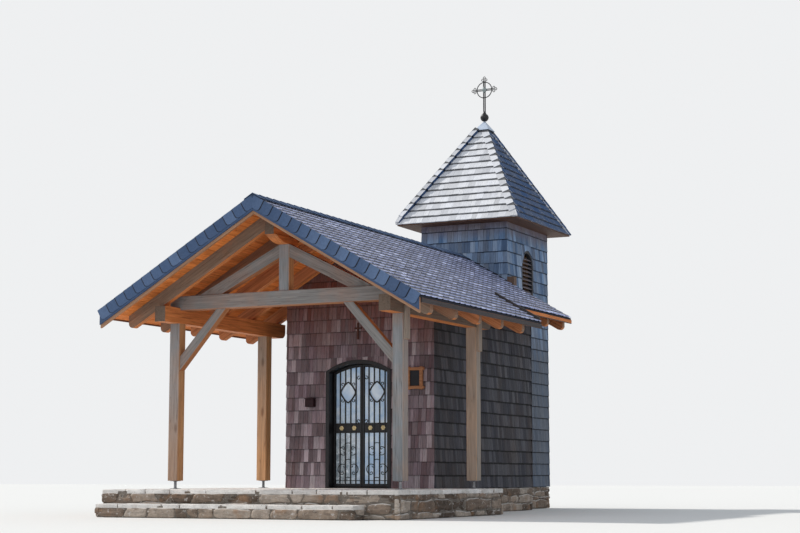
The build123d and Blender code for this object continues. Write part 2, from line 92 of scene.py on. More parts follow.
def loft(rings, tone=None, uv=None, closed=False):
    # n copies of r rings with k points each: point j of a ring meets point j of the next
    # ring, and flat caps close the first and the last ring unless the loft is a hoop
    rings = np.asarray(rings, float)
    if rings.ndim == 3:
        rings = rings[None]
    n, r, k, _ = rings.shape
    i, j = np.meshgrid(np.arange(r if closed else r - 1), np.arange(k), indexing="ij")
    ahead, beside = (i + 1) % r, (j + 1) % k
    sides = np.stack((i * k + j, i * k + beside, ahead * k + beside, ahead * k + j), -1)
    caps = [] if closed else [np.arange(k)[::-1], np.arange(k) + (r - 1) * k]
    one = np.concatenate([sides.ravel(), *caps])
    sizes = np.tile(np.concatenate((np.full(i.size, 4), [k] * len(caps))), n).astype(int)
    loops = (one[None] + np.arange(n)[:, None] * r * k).ravel()
    verts = rings.reshape(-1, 3)
    starts = np.cumsum(sizes) - sizes
    # six times the volume is the sum of a . (b x c) over the fan triangles: below zero
    # means that the faces look inwards, so their corners are turned round
    volume = 0.0
    middle = verts.mean(0)
    for step in range(1, sizes.max() - 1):
        has = starts[sizes > step + 1]
        a, b, c = (verts[loops[has + o]] - middle for o in (0, step, step + 1))
        volume += np.einsum("ij,ij->i", a, np.cross(b, c)).sum()
    if volume < 0:
        loops = backwards(loops, sizes)
    if tone is None:
        tone = np.full((n, 3), 0.5)
    tone = np.asarray(tone, float)
    if tone.ndim == 2:
        tone = np.broadcast_to(tone[:, None, None], (n, r, k, 3))
    if uv is None:
        uv = np.zeros((n, r, k, 2))
    return {"verts": verts, "loops": loops, "sizes": sizes, "tone": tone.reshape(-1, 3),
            "uv": np.asarray(uv, float).reshape(-1, 2)}


def addPiece(name, parts, material, body="chapel", stands=(), crease=None):
    # parts are lofts; they become one mesh with a UV map and a tone attribute
    shift = np.cumsum([0] + [len(p["verts"]) for p in parts])
    verts = np.concatenate([p["verts"] for p in parts])
    loops = np.concatenate([p["loops"] + s for p, s in zip(parts, shift)])
    sizes = np.concatenate([p["sizes"] for p in parts])
    tone = np.concatenate([p["tone"] for p in parts])
    uv = np.concatenate([p["uv"] for p in parts])
    mesh = bpy.data.meshes.new(name)
    mesh.vertices.add(len(verts))
    mesh.vertices.foreach_set("co", verts.astype(np.float32).ravel())
    mesh.loops.add(len(loops))
    mesh.loops.foreach_set("vertex_index", loops.astype(np.int32))
    mesh.polygons.add(len(sizes))
    mesh.polygons.foreach_set("loop_start", (np.cumsum(sizes) - sizes).astype(np.int32))
    mesh.update(calc_edges=True)
    mesh.uv_layers.new(name="grain").data.foreach_set("uv", uv[loops].astype(np.float32).ravel())
    shade = np.concatenate((tone, np.ones((len(tone), 1))), 1).astype(np.float32)
    mesh.color_attributes.new("tone", "FLOAT_COLOR", "POINT").data.foreach_set("color", shade.ravel())
    # faces are flat unless a crease angle is given
    mesh.polygons.foreach_set("use_smooth", np.full(len(sizes), crease is not None))
    if crease is not None:
        mesh.set_sharp_from_angle(angle=np.radians(crease))
    return putIn(name, mesh, material, body, stands)


def linked(name, data):
    made = bpy.data.objects.new(name, data)
    bpy.context.scene.collection.objects.link(made)
    return made


def putIn(name, mesh, material, body="chapel", stands=()):
    # the mesh as a piece that rides on a body and may stand for CAD nodes
    piece = linked(name, mesh)
    mesh.materials.append(material)
    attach(piece, body)
    if stands:
        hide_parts(*stands)
    return piece


def sunkCopy(name, source, move, material, backing=None):
    # a merged copy of a CAD node whose points are moved by the function given; the faces
    # that move as a whole lie behind the cladding and take the backing material
    mesh = nodes[source].data
    co = np.zeros(len(mesh.vertices) * 3)
    mesh.vertices.foreach_get("co", co)
    corners, index = np.unique(co.reshape(-1, 3).round(5), axis=0, return_inverse=True)
    faces = np.zeros(len(mesh.loops), np.int32)
    mesh.loops.foreach_get("vertex_index", faces)
    triangles = index.ravel()[faces].reshape(-1, 3)
    pushed = move(corners)
    merged = bpy.data.meshes.new(name)
    merged.from_pydata(pushed, [], triangles)
    piece = putIn(name, merged, material, stands=(source,))
    if backing is not None:
        merged.materials.append(backing)
        hidden = (np.abs(pushed - corners).max(1) > 1e-5)[triangles].all(1)
        merged.polygons.foreach_set("material_index", hidden.astype(np.int32))
    return piece


def mirrorX(part):
    # x becomes -x, and the faces are turned round to look outwards again
    return dict(part, verts=part["verts"] * (-1, 1, 1), loops=backwards(part["loops"], part["sizes"]))


def bar(low, high, bevel, along=2):
    # a bar between two corners: a rectangle with cut corners, carried along one axis
    low, high = np.array(low, float), np.array(high, float)
    a, b = [axis for axis in range(3) if axis != along]
    middle, half = (low + high) / 2, (high - low) / 2
    s = np.array((-1, 1, 1, 1, 1, -1, -1, -1)) * half[a]
    t = np.array((-1, -1, -1, 1, 1, 1, 1, -1)) * half[b]
    s = s - np.array((-1, 1, 0, 0, 1, -1, 0, 0)) * bevel
    t = t - np.array((0, 0, -1, 1, 0, 0, 1, -1)) * bevel
    ends = np.array((low[along], low[along] + bevel, high[along] - bevel, high[along]))
    draw = np.array((1 - bevel / half.min(), 1, 1, 1 - bevel / half.min()))[:, None]
    ring = np.zeros((4, 8, 3))
    ring[..., a] = middle[a] + draw * s
    ring[..., b] = middle[b] + draw * t
    ring[..., along] = ends[:, None]
    return loft(ring)


def tube(path, radius, sides=6, closed=False, deep=None):
    # a ring of points carried along a path: side and lift stand square to its direction,
    # and deep is the radius along lift where the tube is flattened
    path = np.asarray(path, float)
    ahead = np.roll(path, -1, 0) - np.roll(path, 1, 0) if closed else np.gradient(path, axis=0)
    ahead /= np.linalg.norm(ahead, axis=1)[:, None]
    side = np.cross(ahead, (0, 1, 0))
    side /= np.maximum(np.linalg.norm(side, axis=1), 1e-9)[:, None]
    lift = np.cross(side, ahead)
    angle = np.arange(sides) * 2 * np.pi / sides + np.pi / sides
    ring = side[:, None] * np.cos(angle)[:, None] * radius
    ring = ring + lift[:, None] * np.sin(angle)[:, None] * (radius if deep is None else deep)
    return loft(path[:, None] + ring, closed=closed)


def lathe(profile, centre, sides=32):
    # a profile of (radius, height) pairs turned round an upright axis
    profile = np.asarray(profile, float)
    angle = np.arange(sides) * 2 * np.pi / sides
    ring = np.empty((len(profile), sides, 3))
    ring[..., 0] = centre[0] + profile[:, :1] * np.cos(angle)
    ring[..., 1] = centre[1] + profile[:, :1] * np.sin(angle)
    ring[..., 2] = centre[2] + profile[:, 1:]
    return loft(ring)


def plane(origin, outward, up):
    # u runs across, v up and w outwards from the origin
    outward, up = unit(outward), unit(up)
    return {"origin": np.array(origin, float), "out": outward, "up": up, "across": np.cross(up, outward)}


def onPlane(base, u, v, w):
    # origin + u across + v up + w out
    spread = u[..., None] * base["across"] + v[..., None] * base["up"]
    return base["origin"] + spread + w[..., None] * base["out"]


tile = {
    # what must show of a tile for it to be laid, and its least height
    "shows": 0.015, "wide": 0.012, "tall": 0.003,
    # a joint this close to a fixed cut gives way, as a share of the least width
    "clear": 0.45,
    "plain": ((0, 0), (0.35, 0), (0.68, 0), (1, 0), (1, 1), (0, 1)),
}
farAway = 99.0


def courses(u0, u1, v0, v1, setting, seed, cuts=(), low=None, high=None, taper=None):
    # the corners of rows of tiles between u0 and u1, as (u, v) from the lower left round;
    # low and high give the height where something else begins or ends, and a tile is cut
    # along them; taper gives half the width at a height
    source = np.random.default_rng(seed)
    gauge = setting["gauge"]
    found = []
    for row in range(int(np.ceil((v1 - v0) / gauge - 1e-6))):
        foot = v0 + row * gauge
        # random widths are laid end to end, then the joints next to a fixed cut give way
        widths = source.uniform(*setting["widths"], int((u1 - u0) / setting["widths"][0]) + 3)
        start = source.uniform(0.2, 1)
        if "bond" in setting:
            start = 1 - setting["bond"] * ((row + setting.get("first", 0)) % 2)
        joints = u0 + np.cumsum(widths) - widths[0] * start
        edges = np.array([u0, u1, *[c for c in cuts if u0 < c < u1]])
        near = np.abs(joints[:, None] - edges[None]).min(1) < setting["widths"][0] * tile["clear"]
        joints = np.sort(np.concatenate((joints[(joints > u0) & (joints < u1) & ~near], edges)))
        left, right = joints[:-1], joints[1:]
        middle = (left + right) / 2
        drop = source.uniform(-1, 1, len(left)) * setting["uneven"]
        under = np.full(len(left), foot) + drop
        footL = under if low is None else np.maximum(under, low(left, middle, foot))
        footR = under if low is None else np.maximum(under, low(right, middle, foot))
        top = min(foot + gauge + setting["lap"], v1 + setting.get("over", 0.0))
        topL = np.full(len(left), top) if high is None else np.minimum(top, high(left, middle, foot))
        topR = np.full(len(left), top) if high is None else np.minimum(top, high(right, middle, foot))
        shows = np.minimum(topL, foot + gauge) - footL
        shows = np.maximum(shows, np.minimum(topR, foot + gauge) - footR)
        keep = shows > tile["shows"]
        topL, topR = np.maximum(topL, footL + tile["tall"]), np.maximum(topR, footR + tile["tall"])
        below, above = (farAway, farAway) if taper is None else (taper(foot), taper(top))
        lowLeft, lowRight = np.clip(left, -below, below), np.clip(right, -below, below)
        highLeft, highRight = np.clip(left, -above, above), np.clip(right, -above, above)
        keep &= lowRight - lowLeft > tile["wide"]
        corners = np.stack((lowLeft, footL, lowRight, footR, highRight, topR, highLeft, topL), -1)
        found.append(corners[keep].reshape(-1, 4, 2))
    return np.concatenate(found)


def layTiles(base, corners, setting, seed, outline=tile["plain"]):
    # each tile is an outline in (s, t) drawn between its four corners; its outer face
    # stands proud at the butt, t = 0, and sinks to the top, t = 1
    source = np.random.default_rng(seed)
    n = len(corners)
    s = np.broadcast_to(np.array(outline)[:, 0], (n, len(outline))).copy()
    t = np.broadcast_to(np.array(outline)[:, 1], s.shape).copy()
    butt = t < 0.01
    t += butt * source.uniform(0, setting.get("ragged", 0.0), s.shape)
    gap = setting.get("gap", 0.002)
    width = np.abs(corners[:, 1, 0] - corners[:, 0, 0])[:, None]
    s = gap / width + s * (1 - 2 * gap / width)
    lower = corners[:, None, 0] * (1 - s[..., None]) + corners[:, None, 1] * s[..., None]
    upper = corners[:, None, 3] * (1 - s[..., None]) + corners[:, None, 2] * s[..., None]
    place = lower * (1 - t[..., None]) + upper * t[..., None]
    tilt = setting["buttOut"] * (1 - t) + setting["topOut"] * t
    lean = source.normal(0, setting.get("wobble", 0.001), (n, 1))
    outer = tilt + lean * (1 - t) + setting.get("sideLift", 0.0) * s
    outer = outer + source.normal(0, setting.get("warp", 0.0), s.shape) * butt
    inner = outer - setting["thick"] * (1 - setting.get("thin", 0.6) * t)
    rings = np.stack([onPlane(base, place[..., 0], place[..., 1], w) for w in (inner, outer)], 1)
    # tone holds two random values and how far up the showing part a point lies
    tone = np.empty((n, 2, len(outline), 3))
    tone[..., 0] = source.random(n)[:, None, None]
    tone[..., 1] = source.random(n)[:, None, None]
    reach = (place[..., 1] - place[..., 1].min(1, keepdims=True)) / setting["gauge"]
    tone[..., 2] = np.clip(reach, 0, 1.5)[:, None]
    shift = source.uniform(-40, 40, (n, 1, 1, 2))
    uv = np.broadcast_to(place[:, None], (n, 2, len(outline), 2)) + shift
    return loft(rings, tone=tone, uv=uv)


def layStones(base, u0, u1, v0, v1, setting, seed):
    # rows between wavy bed lines; each stone is a rounded outline carried outwards from
    # the bed in five rings: back, edge, shoulder, cheek and face
    source = np.random.default_rng(seed)
    heights = []
    while sum(heights) < v1 - v0 - setting["rows"][0] * 0.5:
        heights.append(source.uniform(*setting["rows"]))
    lines = v0 + np.concatenate(([0], np.cumsum(heights))) * (v1 - v0) / sum(heights)
    wave = setting["wavy"]

    def bed(index, u):
        # the height of a bed line over u: two sine waves round its mean
        inner = 0 < index < len(lines) - 1
        swing = wave * (1 if inner else setting.get("edgeWavy", 0.0))
        phase = index * 2.4 + seed
        return lines[index] + swing * (np.sin(u * 5.1 + phase) * 0.6 + np.sin(u * 11.7 + phase * 1.7) * 0.4)

    cells = []
    for row in range(len(lines) - 1):
        widths = source.uniform(*setting["lengths"], int((u1 - u0) / setting["lengths"][0]) + 3)
        joints = u0 + np.cumsum(widths) - widths[0] * source.uniform(0.3, 1)
        end = setting["lengths"][0] * 0.5
        joints = joints[(joints > u0 + end) & (joints < u1 - end)]
        joints = np.concatenate(([u0], joints, [u1]))
        slant = source.uniform(-1, 1, len(joints)) * setting["slant"]
        slant[[0, -1]] = 0
        lowU, highU = joints - slant, joints + slant
        cells.append((row, lowU[:-1], lowU[1:], highU[1:], highU[:-1]))
    # the same number of points to each of a cell's four sides
    count = masonry["side"]
    share = np.arange(count) / count
    rings, tones = [], []
    for row, lowL, lowR, highR, highL in cells:
        foot = lowL[:, None] + (lowR - lowL)[:, None] * share
        head = highR[:, None] + (highL - highR)[:, None] * share
        u = np.concatenate((foot, lowR[:, None] + (highR - lowR)[:, None] * share,
                            head, highL[:, None] + (lowL - highL)[:, None] * share), 1)
        rise = share[None]
        vFoot, vHead = bed(row, foot), bed(row + 1, head)
        vRight = bed(row, lowR)[:, None] * (1 - rise) + bed(row + 1, highR)[:, None] * rise
        vLeft = bed(row + 1, highL)[:, None] * (1 - rise) + bed(row, lowL)[:, None] * rise
        v = np.concatenate((vFoot, vRight, vHead, vLeft), 1)
        rings.append(np.stack((u, v), -1))
        tones.append(source.random((len(u), 3)))
    outline, tone = np.concatenate(rings), np.concatenate(tones)
    n, k, _ = outline.shape
    centre = outline.mean(1, keepdims=True)
    half = (outline.max(1) - outline.min(1))[:, None] / 2
    away = outline - centre
    # corners pulled towards the middle, joints opened, and every edge made uneven
    corner = np.zeros(k)
    corner[::count] = 1
    pull = 1 - corner[None, :, None] * setting["cornerCut"] * source.uniform(0.5, 1.4, (n, k, 1))
    grow = 1 - setting["joint"] / half
    rough = 1 + source.normal(0, setting["rough"], (n, k, 1))
    outline = centre + away * pull * grow * np.minimum(rough, 1.0)
    stand = source.uniform(-1, 1, (n, 1)) * setting["standVary"]
    shells = []
    for height, draw in zip(setting["levels"], setting["draws"]):
        shrink = 1 - draw / half
        flat = centre + (outline - centre) * np.maximum(shrink, masonry["leastShrink"])
        lift = np.full((n, k), height) + stand * (height > setting["levels"][0])
        if draw > 0:
            spot = onPlane(base, flat[..., 0], flat[..., 1], lift)
            lift = lift + ripple(spot, setting["lump"], seed + 5) * setting["bumpy"]
        shells.append(onPlane(base, flat[..., 0], flat[..., 1], np.minimum(lift, setting["limit"])))
    return loft(np.stack(shells, 1), tone=tone)


def startMaterial(name, roughness=0.7, metallic=0.0, specular=0.4):
    material = bpy.data.materials.new(name)
    material.use_nodes = True
    shader = material.node_tree.nodes["Principled BSDF"]
    shader.inputs["Roughness"].default_value = roughness
    shader.inputs["Metallic"].default_value = metallic
    shader.inputs["Specular IOR Level"].default_value = specular
    return material, material.node_tree, shader


def addNode(tree, kind, links=(), **settings):
    # links are (socket, value or output) pairs
    made = tree.nodes.new(kind)
    for key, value in settings.items():
        setattr(made, key, value)
    for socket, value in links:
        if isinstance(value, bpy.types.NodeSocket):
            tree.links.new(value, made.inputs[socket])
        else:
            made.inputs[socket].default_value = value
    return made


def places(tree, scale=(1.0, 1.0, 1.0), source="Object", tilt=0.0):
    # coordinates times a scale
    spot = addNode(tree, "ShaderNodeTexCoord").outputs[source]
    if tilt:
        # both slopes at once: X is measured from the middle, then turned down the slope
        x, y, z = addNode(tree, "ShaderNodeSeparateXYZ", ((0, spot),)).outputs[:3]
        away = sums(tree, "ABSOLUTE", x)
        spot = addNode(tree, "ShaderNodeCombineXYZ", ((0, away), (1, y), (2, z))).outputs[0]
        turn = (0.0, -np.radians(tilt), 0.0)
        spot = addNode(tree, "ShaderNodeMapping", ((0, spot), ("Rotation", turn))).outputs[0]
    return addNode(tree, "ShaderNodeMapping", ((0, spot), ("Scale", scale))).outputs[0]


def ordinate(tree, axis):
    # the X, Y or Z of a point of the object
    spot = addNode(tree, "ShaderNodeTexCoord").outputs["Object"]
    return addNode(tree, "ShaderNodeSeparateXYZ", ((0, spot),)).outputs[axis]


def cloud(tree, vector, scale, detail=4.0, rough=0.55, warp=0.0):
    # a noise value between 0 and 1
    made = addNode(tree, "ShaderNodeTexNoise", (("Vector", vector), ("Scale", scale), ("Detail", detail),
                                                ("Roughness", rough), ("Distortion", warp)))
    return made.outputs["Fac"]


def stops(tree, value, points):
    # a colour ramp through (place, colour) pairs; a single number stands for a grey
    made = addNode(tree, "ShaderNodeValToRGB", (("Fac", value),))
    band = made.color_ramp.elements
    while len(band) < len(points):
        band.new(0.5)
    for element, (place, colour) in zip(band, points):
        colour = np.broadcast_to(colour, 3) if np.ndim(colour) == 0 else colour
        element.position = place
        element.color = colour if len(colour) == 4 else (*colour, 1.0)
    return made.outputs["Color"]


def level(tree, value, low, high):
    # 0 below low, 1 above high, straight between them
    links = (("Value", value), ("From Min", low), ("From Max", high))
    return addNode(tree, "ShaderNodeMapRange", links, clamp=True).outputs["Result"]


def sums(tree, operation, first, second=0.5):
    return addNode(tree, "ShaderNodeMath", ((0, first), (1, second)), operation=operation).outputs[0]


def times(tree, first, *others):
    # the product of all the values, multiplied in order
    for other in others:
        first = sums(tree, "MULTIPLY", first, other)
    return first


def plus(tree, first, second):
    return sums(tree, "ADD", first, second)


def blend(tree, share, first, second, kind="MIX"):
    # sockets 0, 6 and 7 are the factor and the two colours, and output 2 is the colour
    links = ((0, share), (6, first), (7, second))
    return addNode(tree, "ShaderNodeMix", links, data_type="RGBA", blend_type=kind).outputs[2]


def darken(tree, share, base, shade):
    # the base multiplied by the shade, as far as the share says
    return blend(tree, share, base, shade, "MULTIPLY")


def relief(tree, shader, height, distance, strength=1.0):
    links = (("Height", height), ("Distance", distance), ("Strength", strength))
    made = addNode(tree, "ShaderNodeBump", links)
    tree.links.new(made.outputs[0], shader.inputs["Normal"])


def toneParts(tree):
    # two random values of the tile and how high up its showing part a point lies
    tone = addNode(tree, "ShaderNodeAttribute", attribute_name="tone").outputs["Color"]
    return addNode(tree, "ShaderNodeSeparateColor", ((0, tone),)).outputs[:3]


def toned(tree, bright, colours):
    return stops(tree, bright, [(place, screenColour(*colour)) for place, colour in colours])


def facing(tree, direction, low, high):
    # how far the surface faces a direction, from 0 to 1
    normal = addNode(tree, "ShaderNodeNewGeometry").outputs["Normal"]
    product = addNode(tree, "ShaderNodeVectorMath", ((0, normal), (1, direction)), operation="DOT_PRODUCT")
    return level(tree, product.outputs["Value"], low, high)


def shingleMaterial(name, colours, stain, stainShare, contrast, streaks=1.0, under=0.5,
                    warmFrom=None, warmTo=None, warmth=None, shadeSide=None, shadowFrom=0.91,
                    footing=None, bumpy=0.8):
    material, tree, shader = startMaterial(name, 0.82, specular=0.25)
    bright, hue, height = toneParts(tree)
    base = toned(tree, bright, colours)
    fibre = cloud(tree, places(tree, (1.0, 0.045, 1.0), "UV"), 210.0, 3.0, 0.65)
    split = cloud(tree, places(tree, (1.0, 0.02, 1.0), "UV"), 75.0, 2.0, 0.5)
    patch = cloud(tree, places(tree, (1.0, 1.0, 0.45)), 1.9, 5.0, 0.6)
    base = blend(tree, times(tree, level(tree, patch, 0.45, 0.72), stainShare), base, screenColour(*stain))
    if warmth is not None:
        # boards high under a roof keep the reddish colour of sheltered wood
        spread = times(tree, sums(tree, "SUBTRACT", patch, 0.5), warmTo - warmFrom)
        high = level(tree, plus(tree, ordinate(tree, 2), spread), warmFrom, warmTo)
        base = blend(tree, times(tree, high, 0.85), base, screenColour(*warmth))
    if footing is not None:
        # the foot of a wall that stands in the shade stays darker and greyer
        foot = level(tree, ordinate(tree, 2), 3.5, 2.7)
        base = blend(tree, times(tree, foot, 0.85), base, screenColour(*footing))
    if shadeSide is not None:
        # painted shade: the slopes that face right and to the rear take a darker, bluer colour
        base = blend(tree, facing(tree, (1.0, 0.35, 0.0), 0.1, 0.6), base, screenColour(*shadeSide))
    fibres = ((0.25, 1 - 0.42 * contrast), (0.55, 1.0), (0.8, 1 + 0.2 * contrast))
    base = darken(tree, 1.0, base, stops(tree, fibre, fibres))
    base = darken(tree, 0.75 * streaks, base, stops(tree, split, ((0.36, 0.55), (0.43, 1.0))))
    # the sawn butt is darker, and a thin dark line of painted shadow lies under the next course
    shade = ((0.0, 0.6), (0.02, 1.04), (shadowFrom, 1.0), (shadowFrom + 0.03, under))
    base = darken(tree, 0.9, base, stops(tree, height, shade))
    drift = addNode(tree, "ShaderNodeHueSaturation", (("Color", base), ("Hue", 0.5), ("Value", 1.0),
                    ("Saturation", plus(tree, times(tree, hue, 0.4), 0.8))))
    tree.links.new(drift.outputs[0], shader.inputs["Base Color"])
    relief(tree, shader, plus(tree, fibre, times(tree, split, 1.6)), 0.0035, bumpy)
    return material


def slateMaterial(name, colours, roughness, bloom, bloomShare, under=0.4, specular=0.5, butt=1.35,
                  shadowFrom=0.9, foot=1.0):
    material, tree, shader = startMaterial(name, roughness, specular=specular)
    bright, _, height = toneParts(tree)
    base = toned(tree, bright, colours)
    grain = cloud(tree, places(tree), 38.0, 6.0, 0.7)
    wide = cloud(tree, places(tree), 2.3, 4.0, 0.6)
    base = blend(tree, times(tree, level(tree, wide, 0.4, 0.75), bloomShare), base, screenColour(*bloom))
    base = darken(tree, 0.45, base, stops(tree, grain, ((0.3, 0.7), (0.7, 1.22))))
    # a painted highlight along the lower edge, a face that pales towards its foot as painted light,
    # and a painted shadow as a dark line under the next slate
    edge = ((0.0, butt), (0.07, foot), (shadowFrom * 0.75, 1.0), (shadowFrom, 1.0), (shadowFrom + 0.05, under))
    base = darken(tree, 0.9, base, stops(tree, height, edge))
    tree.links.new(base, shader.inputs["Base Color"])
    relief(tree, shader, grain, 0.003, 0.5)
    return material


def woodMaterial(name, along, fresh, deep, grey, weather, planks=False, tilt=0.0, lowLeft=0.0):
    # along is the axis of the grain, and tilt turns it down the slope; weather is how
    # grey the faces turned to the front are, most of all at the front of the porch;
    # sheltered faces stay warm
    material, tree, shader = startMaterial(name, 0.68, specular=0.3)

    def stretched(wide, long):
        scale = [wide, wide, wide]
        scale[along] = long
        return places(tree, scale, tilt=tilt)

    fibre = cloud(tree, stretched(11.0, 0.55), 3.4, 7.0, 0.62, 0.15)
    rings = cloud(tree, stretched(11.0, 0.55), 0.42, 3.0, 0.5, 0.9)
    fine = cloud(tree, stretched(11.0, 0.55), 13.0, 3.0, 0.6)
    patch = cloud(tree, places(tree), 1.3, 4.0, 0.6)
    base = toned(tree, fibre, ((0.22, deep), (0.62, fresh)))
    bands = stops(tree, rings, ((0.3, 0.78), (0.47, 1.06), (0.6, 0.88), (0.72, 1.08)))
    base = darken(tree, 0.8, base, bands)
    silvered = screenColour(*grey)
    worn = stops(tree, fibre, ((0.25, [c * 0.55 for c in silvered[:3]]), (0.65, silvered)))
    # how far the weather reaches: the front faces, most at the front, and the outer sides
    front = facing(tree, (0.0, -1.0, 0.12), 0.25, 0.9)
    normal = addNode(tree, "ShaderNodeNewGeometry").outputs["Normal"]
    turn = addNode(tree, "ShaderNodeSeparateXYZ", ((0, normal),)).outputs[0]
    outer = level(tree, times(tree, turn, ordinate(tree, 0)), 1.5, 1.9)
    uneven = plus(tree, times(tree, level(tree, patch, 0.22, 0.55), 0.35), 0.65)
    exposed = plus(tree, times(tree, level(tree, ordinate(tree, 1), -2.6, -3.6), 0.65), 0.35)
    reached = sums(tree, "MAXIMUM", times(tree, front, exposed), times(tree, outer, 0.8))
    mask = times(tree, reached, uneven, weather)
    if lowLeft:
        # the left-hand posts have kept more of their colour towards the foot
        left = level(tree, ordinate(tree, 0), 0.3, -0.3)
        low = times(tree, left, level(tree, ordinate(tree, 2), 2.5, 0.9))
        mask = times(tree, mask, sums(tree, "SUBTRACT", 1.0, times(tree, low, lowLeft)))
    base = blend(tree, mask, base, worn)
    if planks:
        plank = stops(tree, toneParts(tree)[0], ((0.0, (0.7, 0.68, 0.66)), (1.0, (1.15, 1.12, 1.08))))
        base = darken(tree, 1.0, base, plank)
    # long drying cracks and the odd knot
    crack = cloud(tree, stretched(26.0, 0.9), 1.0, 1.5, 0.4, 0.2)
    slit = stops(tree, crack, ((0.484, 1.0), (0.497, (0.28, 0.22, 0.18)), (0.51, 1.0)))
    base = darken(tree, 0.55, base, slit)
    knot = addNode(tree, "ShaderNodeTexVoronoi",
                   (("Vector", stretched(5.0, 1.9)), ("Scale", 0.62), ("Randomness", 1.0)))
    spot = stops(tree, knot.outputs["Distance"], ((0.06, (0.32, 0.2, 0.13)), (0.12, 1.0)))
    base = darken(tree, 0.55, base, spot)
    tree.links.new(base, shader.inputs["Base Color"])
    height = plus(tree, times(tree, fibre, 0.8), times(tree, fine, 0.35))
    relief(tree, shader, plus(tree, height, times(tree, slit, 0.6)), 0.003, 0.7)
    return material


def stoneMaterial(name, colours, dust, dustShare, roughness=0.9, patches=0.4, depth=1.0):
    material, tree, shader = startMaterial(name, roughness, specular=0.2)
    space = places(tree)

    def patched(base, noise, low, high, share, colour):
        return blend(tree, times(tree, level(tree, noise, low, high), share), base, screenColour(*colour))

    base = toned(tree, toneParts(tree)[0], colours)
    mottle = cloud(tree, space, 9.0, 8.0, 0.68)
    layers = cloud(tree, places(tree, (1.0, 1.0, 6.0)), 5.0, 6.0, 0.65, 0.4)
    mottled = stops(tree, mottle, ((0.3, (0.5, 0.49, 0.48)), (0.52, 1.0), (0.72, (1.35, 1.33, 1.3))))
    base = darken(tree, 0.75 * depth, base, mottled)
    base = darken(tree, 0.6 * depth, base, stops(tree, layers, ((0.35, 0.6), (0.6, 1.2))))
    # ochre patches, pale spots, dark specks, and dust on what looks up
    base = patched(base, cloud(tree, space, 3.1, 5.0, 0.6), 0.54, 0.68, patches, (156, 124, 98))
    base = patched(base, cloud(tree, space, 17.0, 5.0, 0.7, 0.5), 0.6, 0.64, 0.55, (214, 210, 206))
    base = patched(base, cloud(tree, space, 46.0, 3.0, 0.7), 0.62, 0.68, 0.55, (66, 62, 60))
    upward = facing(tree, (0.0, 0.0, 1.0), 0.35, 0.95)
    base = blend(tree, times(tree, upward, dustShare), base, screenColour(*dust))
    tree.links.new(base, shader.inputs["Base Color"])
    height = plus(tree, mottle, times(tree, cloud(tree, space, 55.0, 5.0, 0.7), 0.35))
    relief(tree, shader, plus(tree, height, times(tree, layers, 0.8)), 0.024, 0.85)
    return material


def metalMaterial(name, dark, light, roughness, metallic, scale=14.0, bumpy=0.001, specular=0.5):
    material, tree, shader = startMaterial(name, roughness, metallic, specular)
    mottle = cloud(tree, places(tree), scale, 6.0, 0.65)
    base = toned(tree, mottle, ((0.3, dark), (0.7, light)))
    tree.links.new(base, shader.inputs["Base Color"])
    relief(tree, shader, mottle, bumpy, 0.6)
    return material


def paneMaterial():
    # the panes' colour is a painted reflection: pale blue, with darker patches low on the left leaf
    material, tree, shader = startMaterial("pane", 0.08, 0.0, 0.8)
    space = places(tree)
    mottle = cloud(tree, space, 3.2, 4.0, 0.6, 0.6)
    skyReflection = toned(tree, mottle, ((0.35, (168, 204, 240)), (0.62, (220, 238, 254))))
    x, y, z = addNode(tree, "ShaderNodeSeparateXYZ", ((0, space),)).outputs[:3]
    leftLow = times(tree, level(tree, x, 0.05, -0.3), level(tree, z, 1.85, 1.0))
    reflectionPattern = cloud(tree, space, 13.0, 5.0, 0.7, 0.8)
    darkReflection = toned(tree, reflectionPattern, ((0.4, (104, 118, 126)), (0.55, (168, 182, 190)), (0.64, (226, 236, 242))))
    base = blend(tree, times(tree, leftLow, 0.9), skyReflection, darkReflection)
    tree.links.new(base, shader.inputs["Base Color"])
    relief(tree, shader, cloud(tree, space, 7.0, 2.0, 0.5), 0.0012, 0.4)
    return material


facadeWood = shingleMaterial("facade_shingle",
    ((0.0, (96, 82, 87)), (0.3, (116, 102, 108)), (0.7, (136, 122, 130)), (1.0, (176, 164, 170))),
    (122, 94, 88), 0.45, 1.15, warmFrom=2.5, warmTo=3.3, warmth=(116, 74, 64))
# the dark of these colours is partly painted shade, and the line under each course is painted shadow
sideWood = shingleMaterial("side_shingle",
    ((0.0, (50, 51, 59)), (0.5, (67, 68, 76)), (1.0, (88, 88, 94))),
    (80, 66, 54), 0.5, 0.9, under=0.1, shadowFrom=0.87)
# the blue of these colours is partly painted shade; the wood itself is a silver grey
towerWood = shingleMaterial("tower_shingle",
    ((0.0, (82, 100, 127)), (0.3, (99, 121, 151)), (0.7, (114, 137, 168)), (1.0, (146, 167, 196))),
    (118, 122, 132), 0.5, 1.0, under=0.15, warmFrom=4.85, warmTo=5.1, warmth=(126, 114, 120), streaks=1.0,
    footing=(92, 98, 108))
# painted shade on the slopes that face right and to the rear, and a painted shadow line under each course
spireWood = shingleMaterial("spire_shingle",
    ((0.0, (190, 192, 197)), (0.35, (208, 210, 215)), (1.0, (226, 228, 233))), (192, 194, 201), 0.3, 0.55,
    streaks=0.45, under=0.1, shadeSide=(60, 82, 117), shadowFrom=0.8, bumpy=0.35)
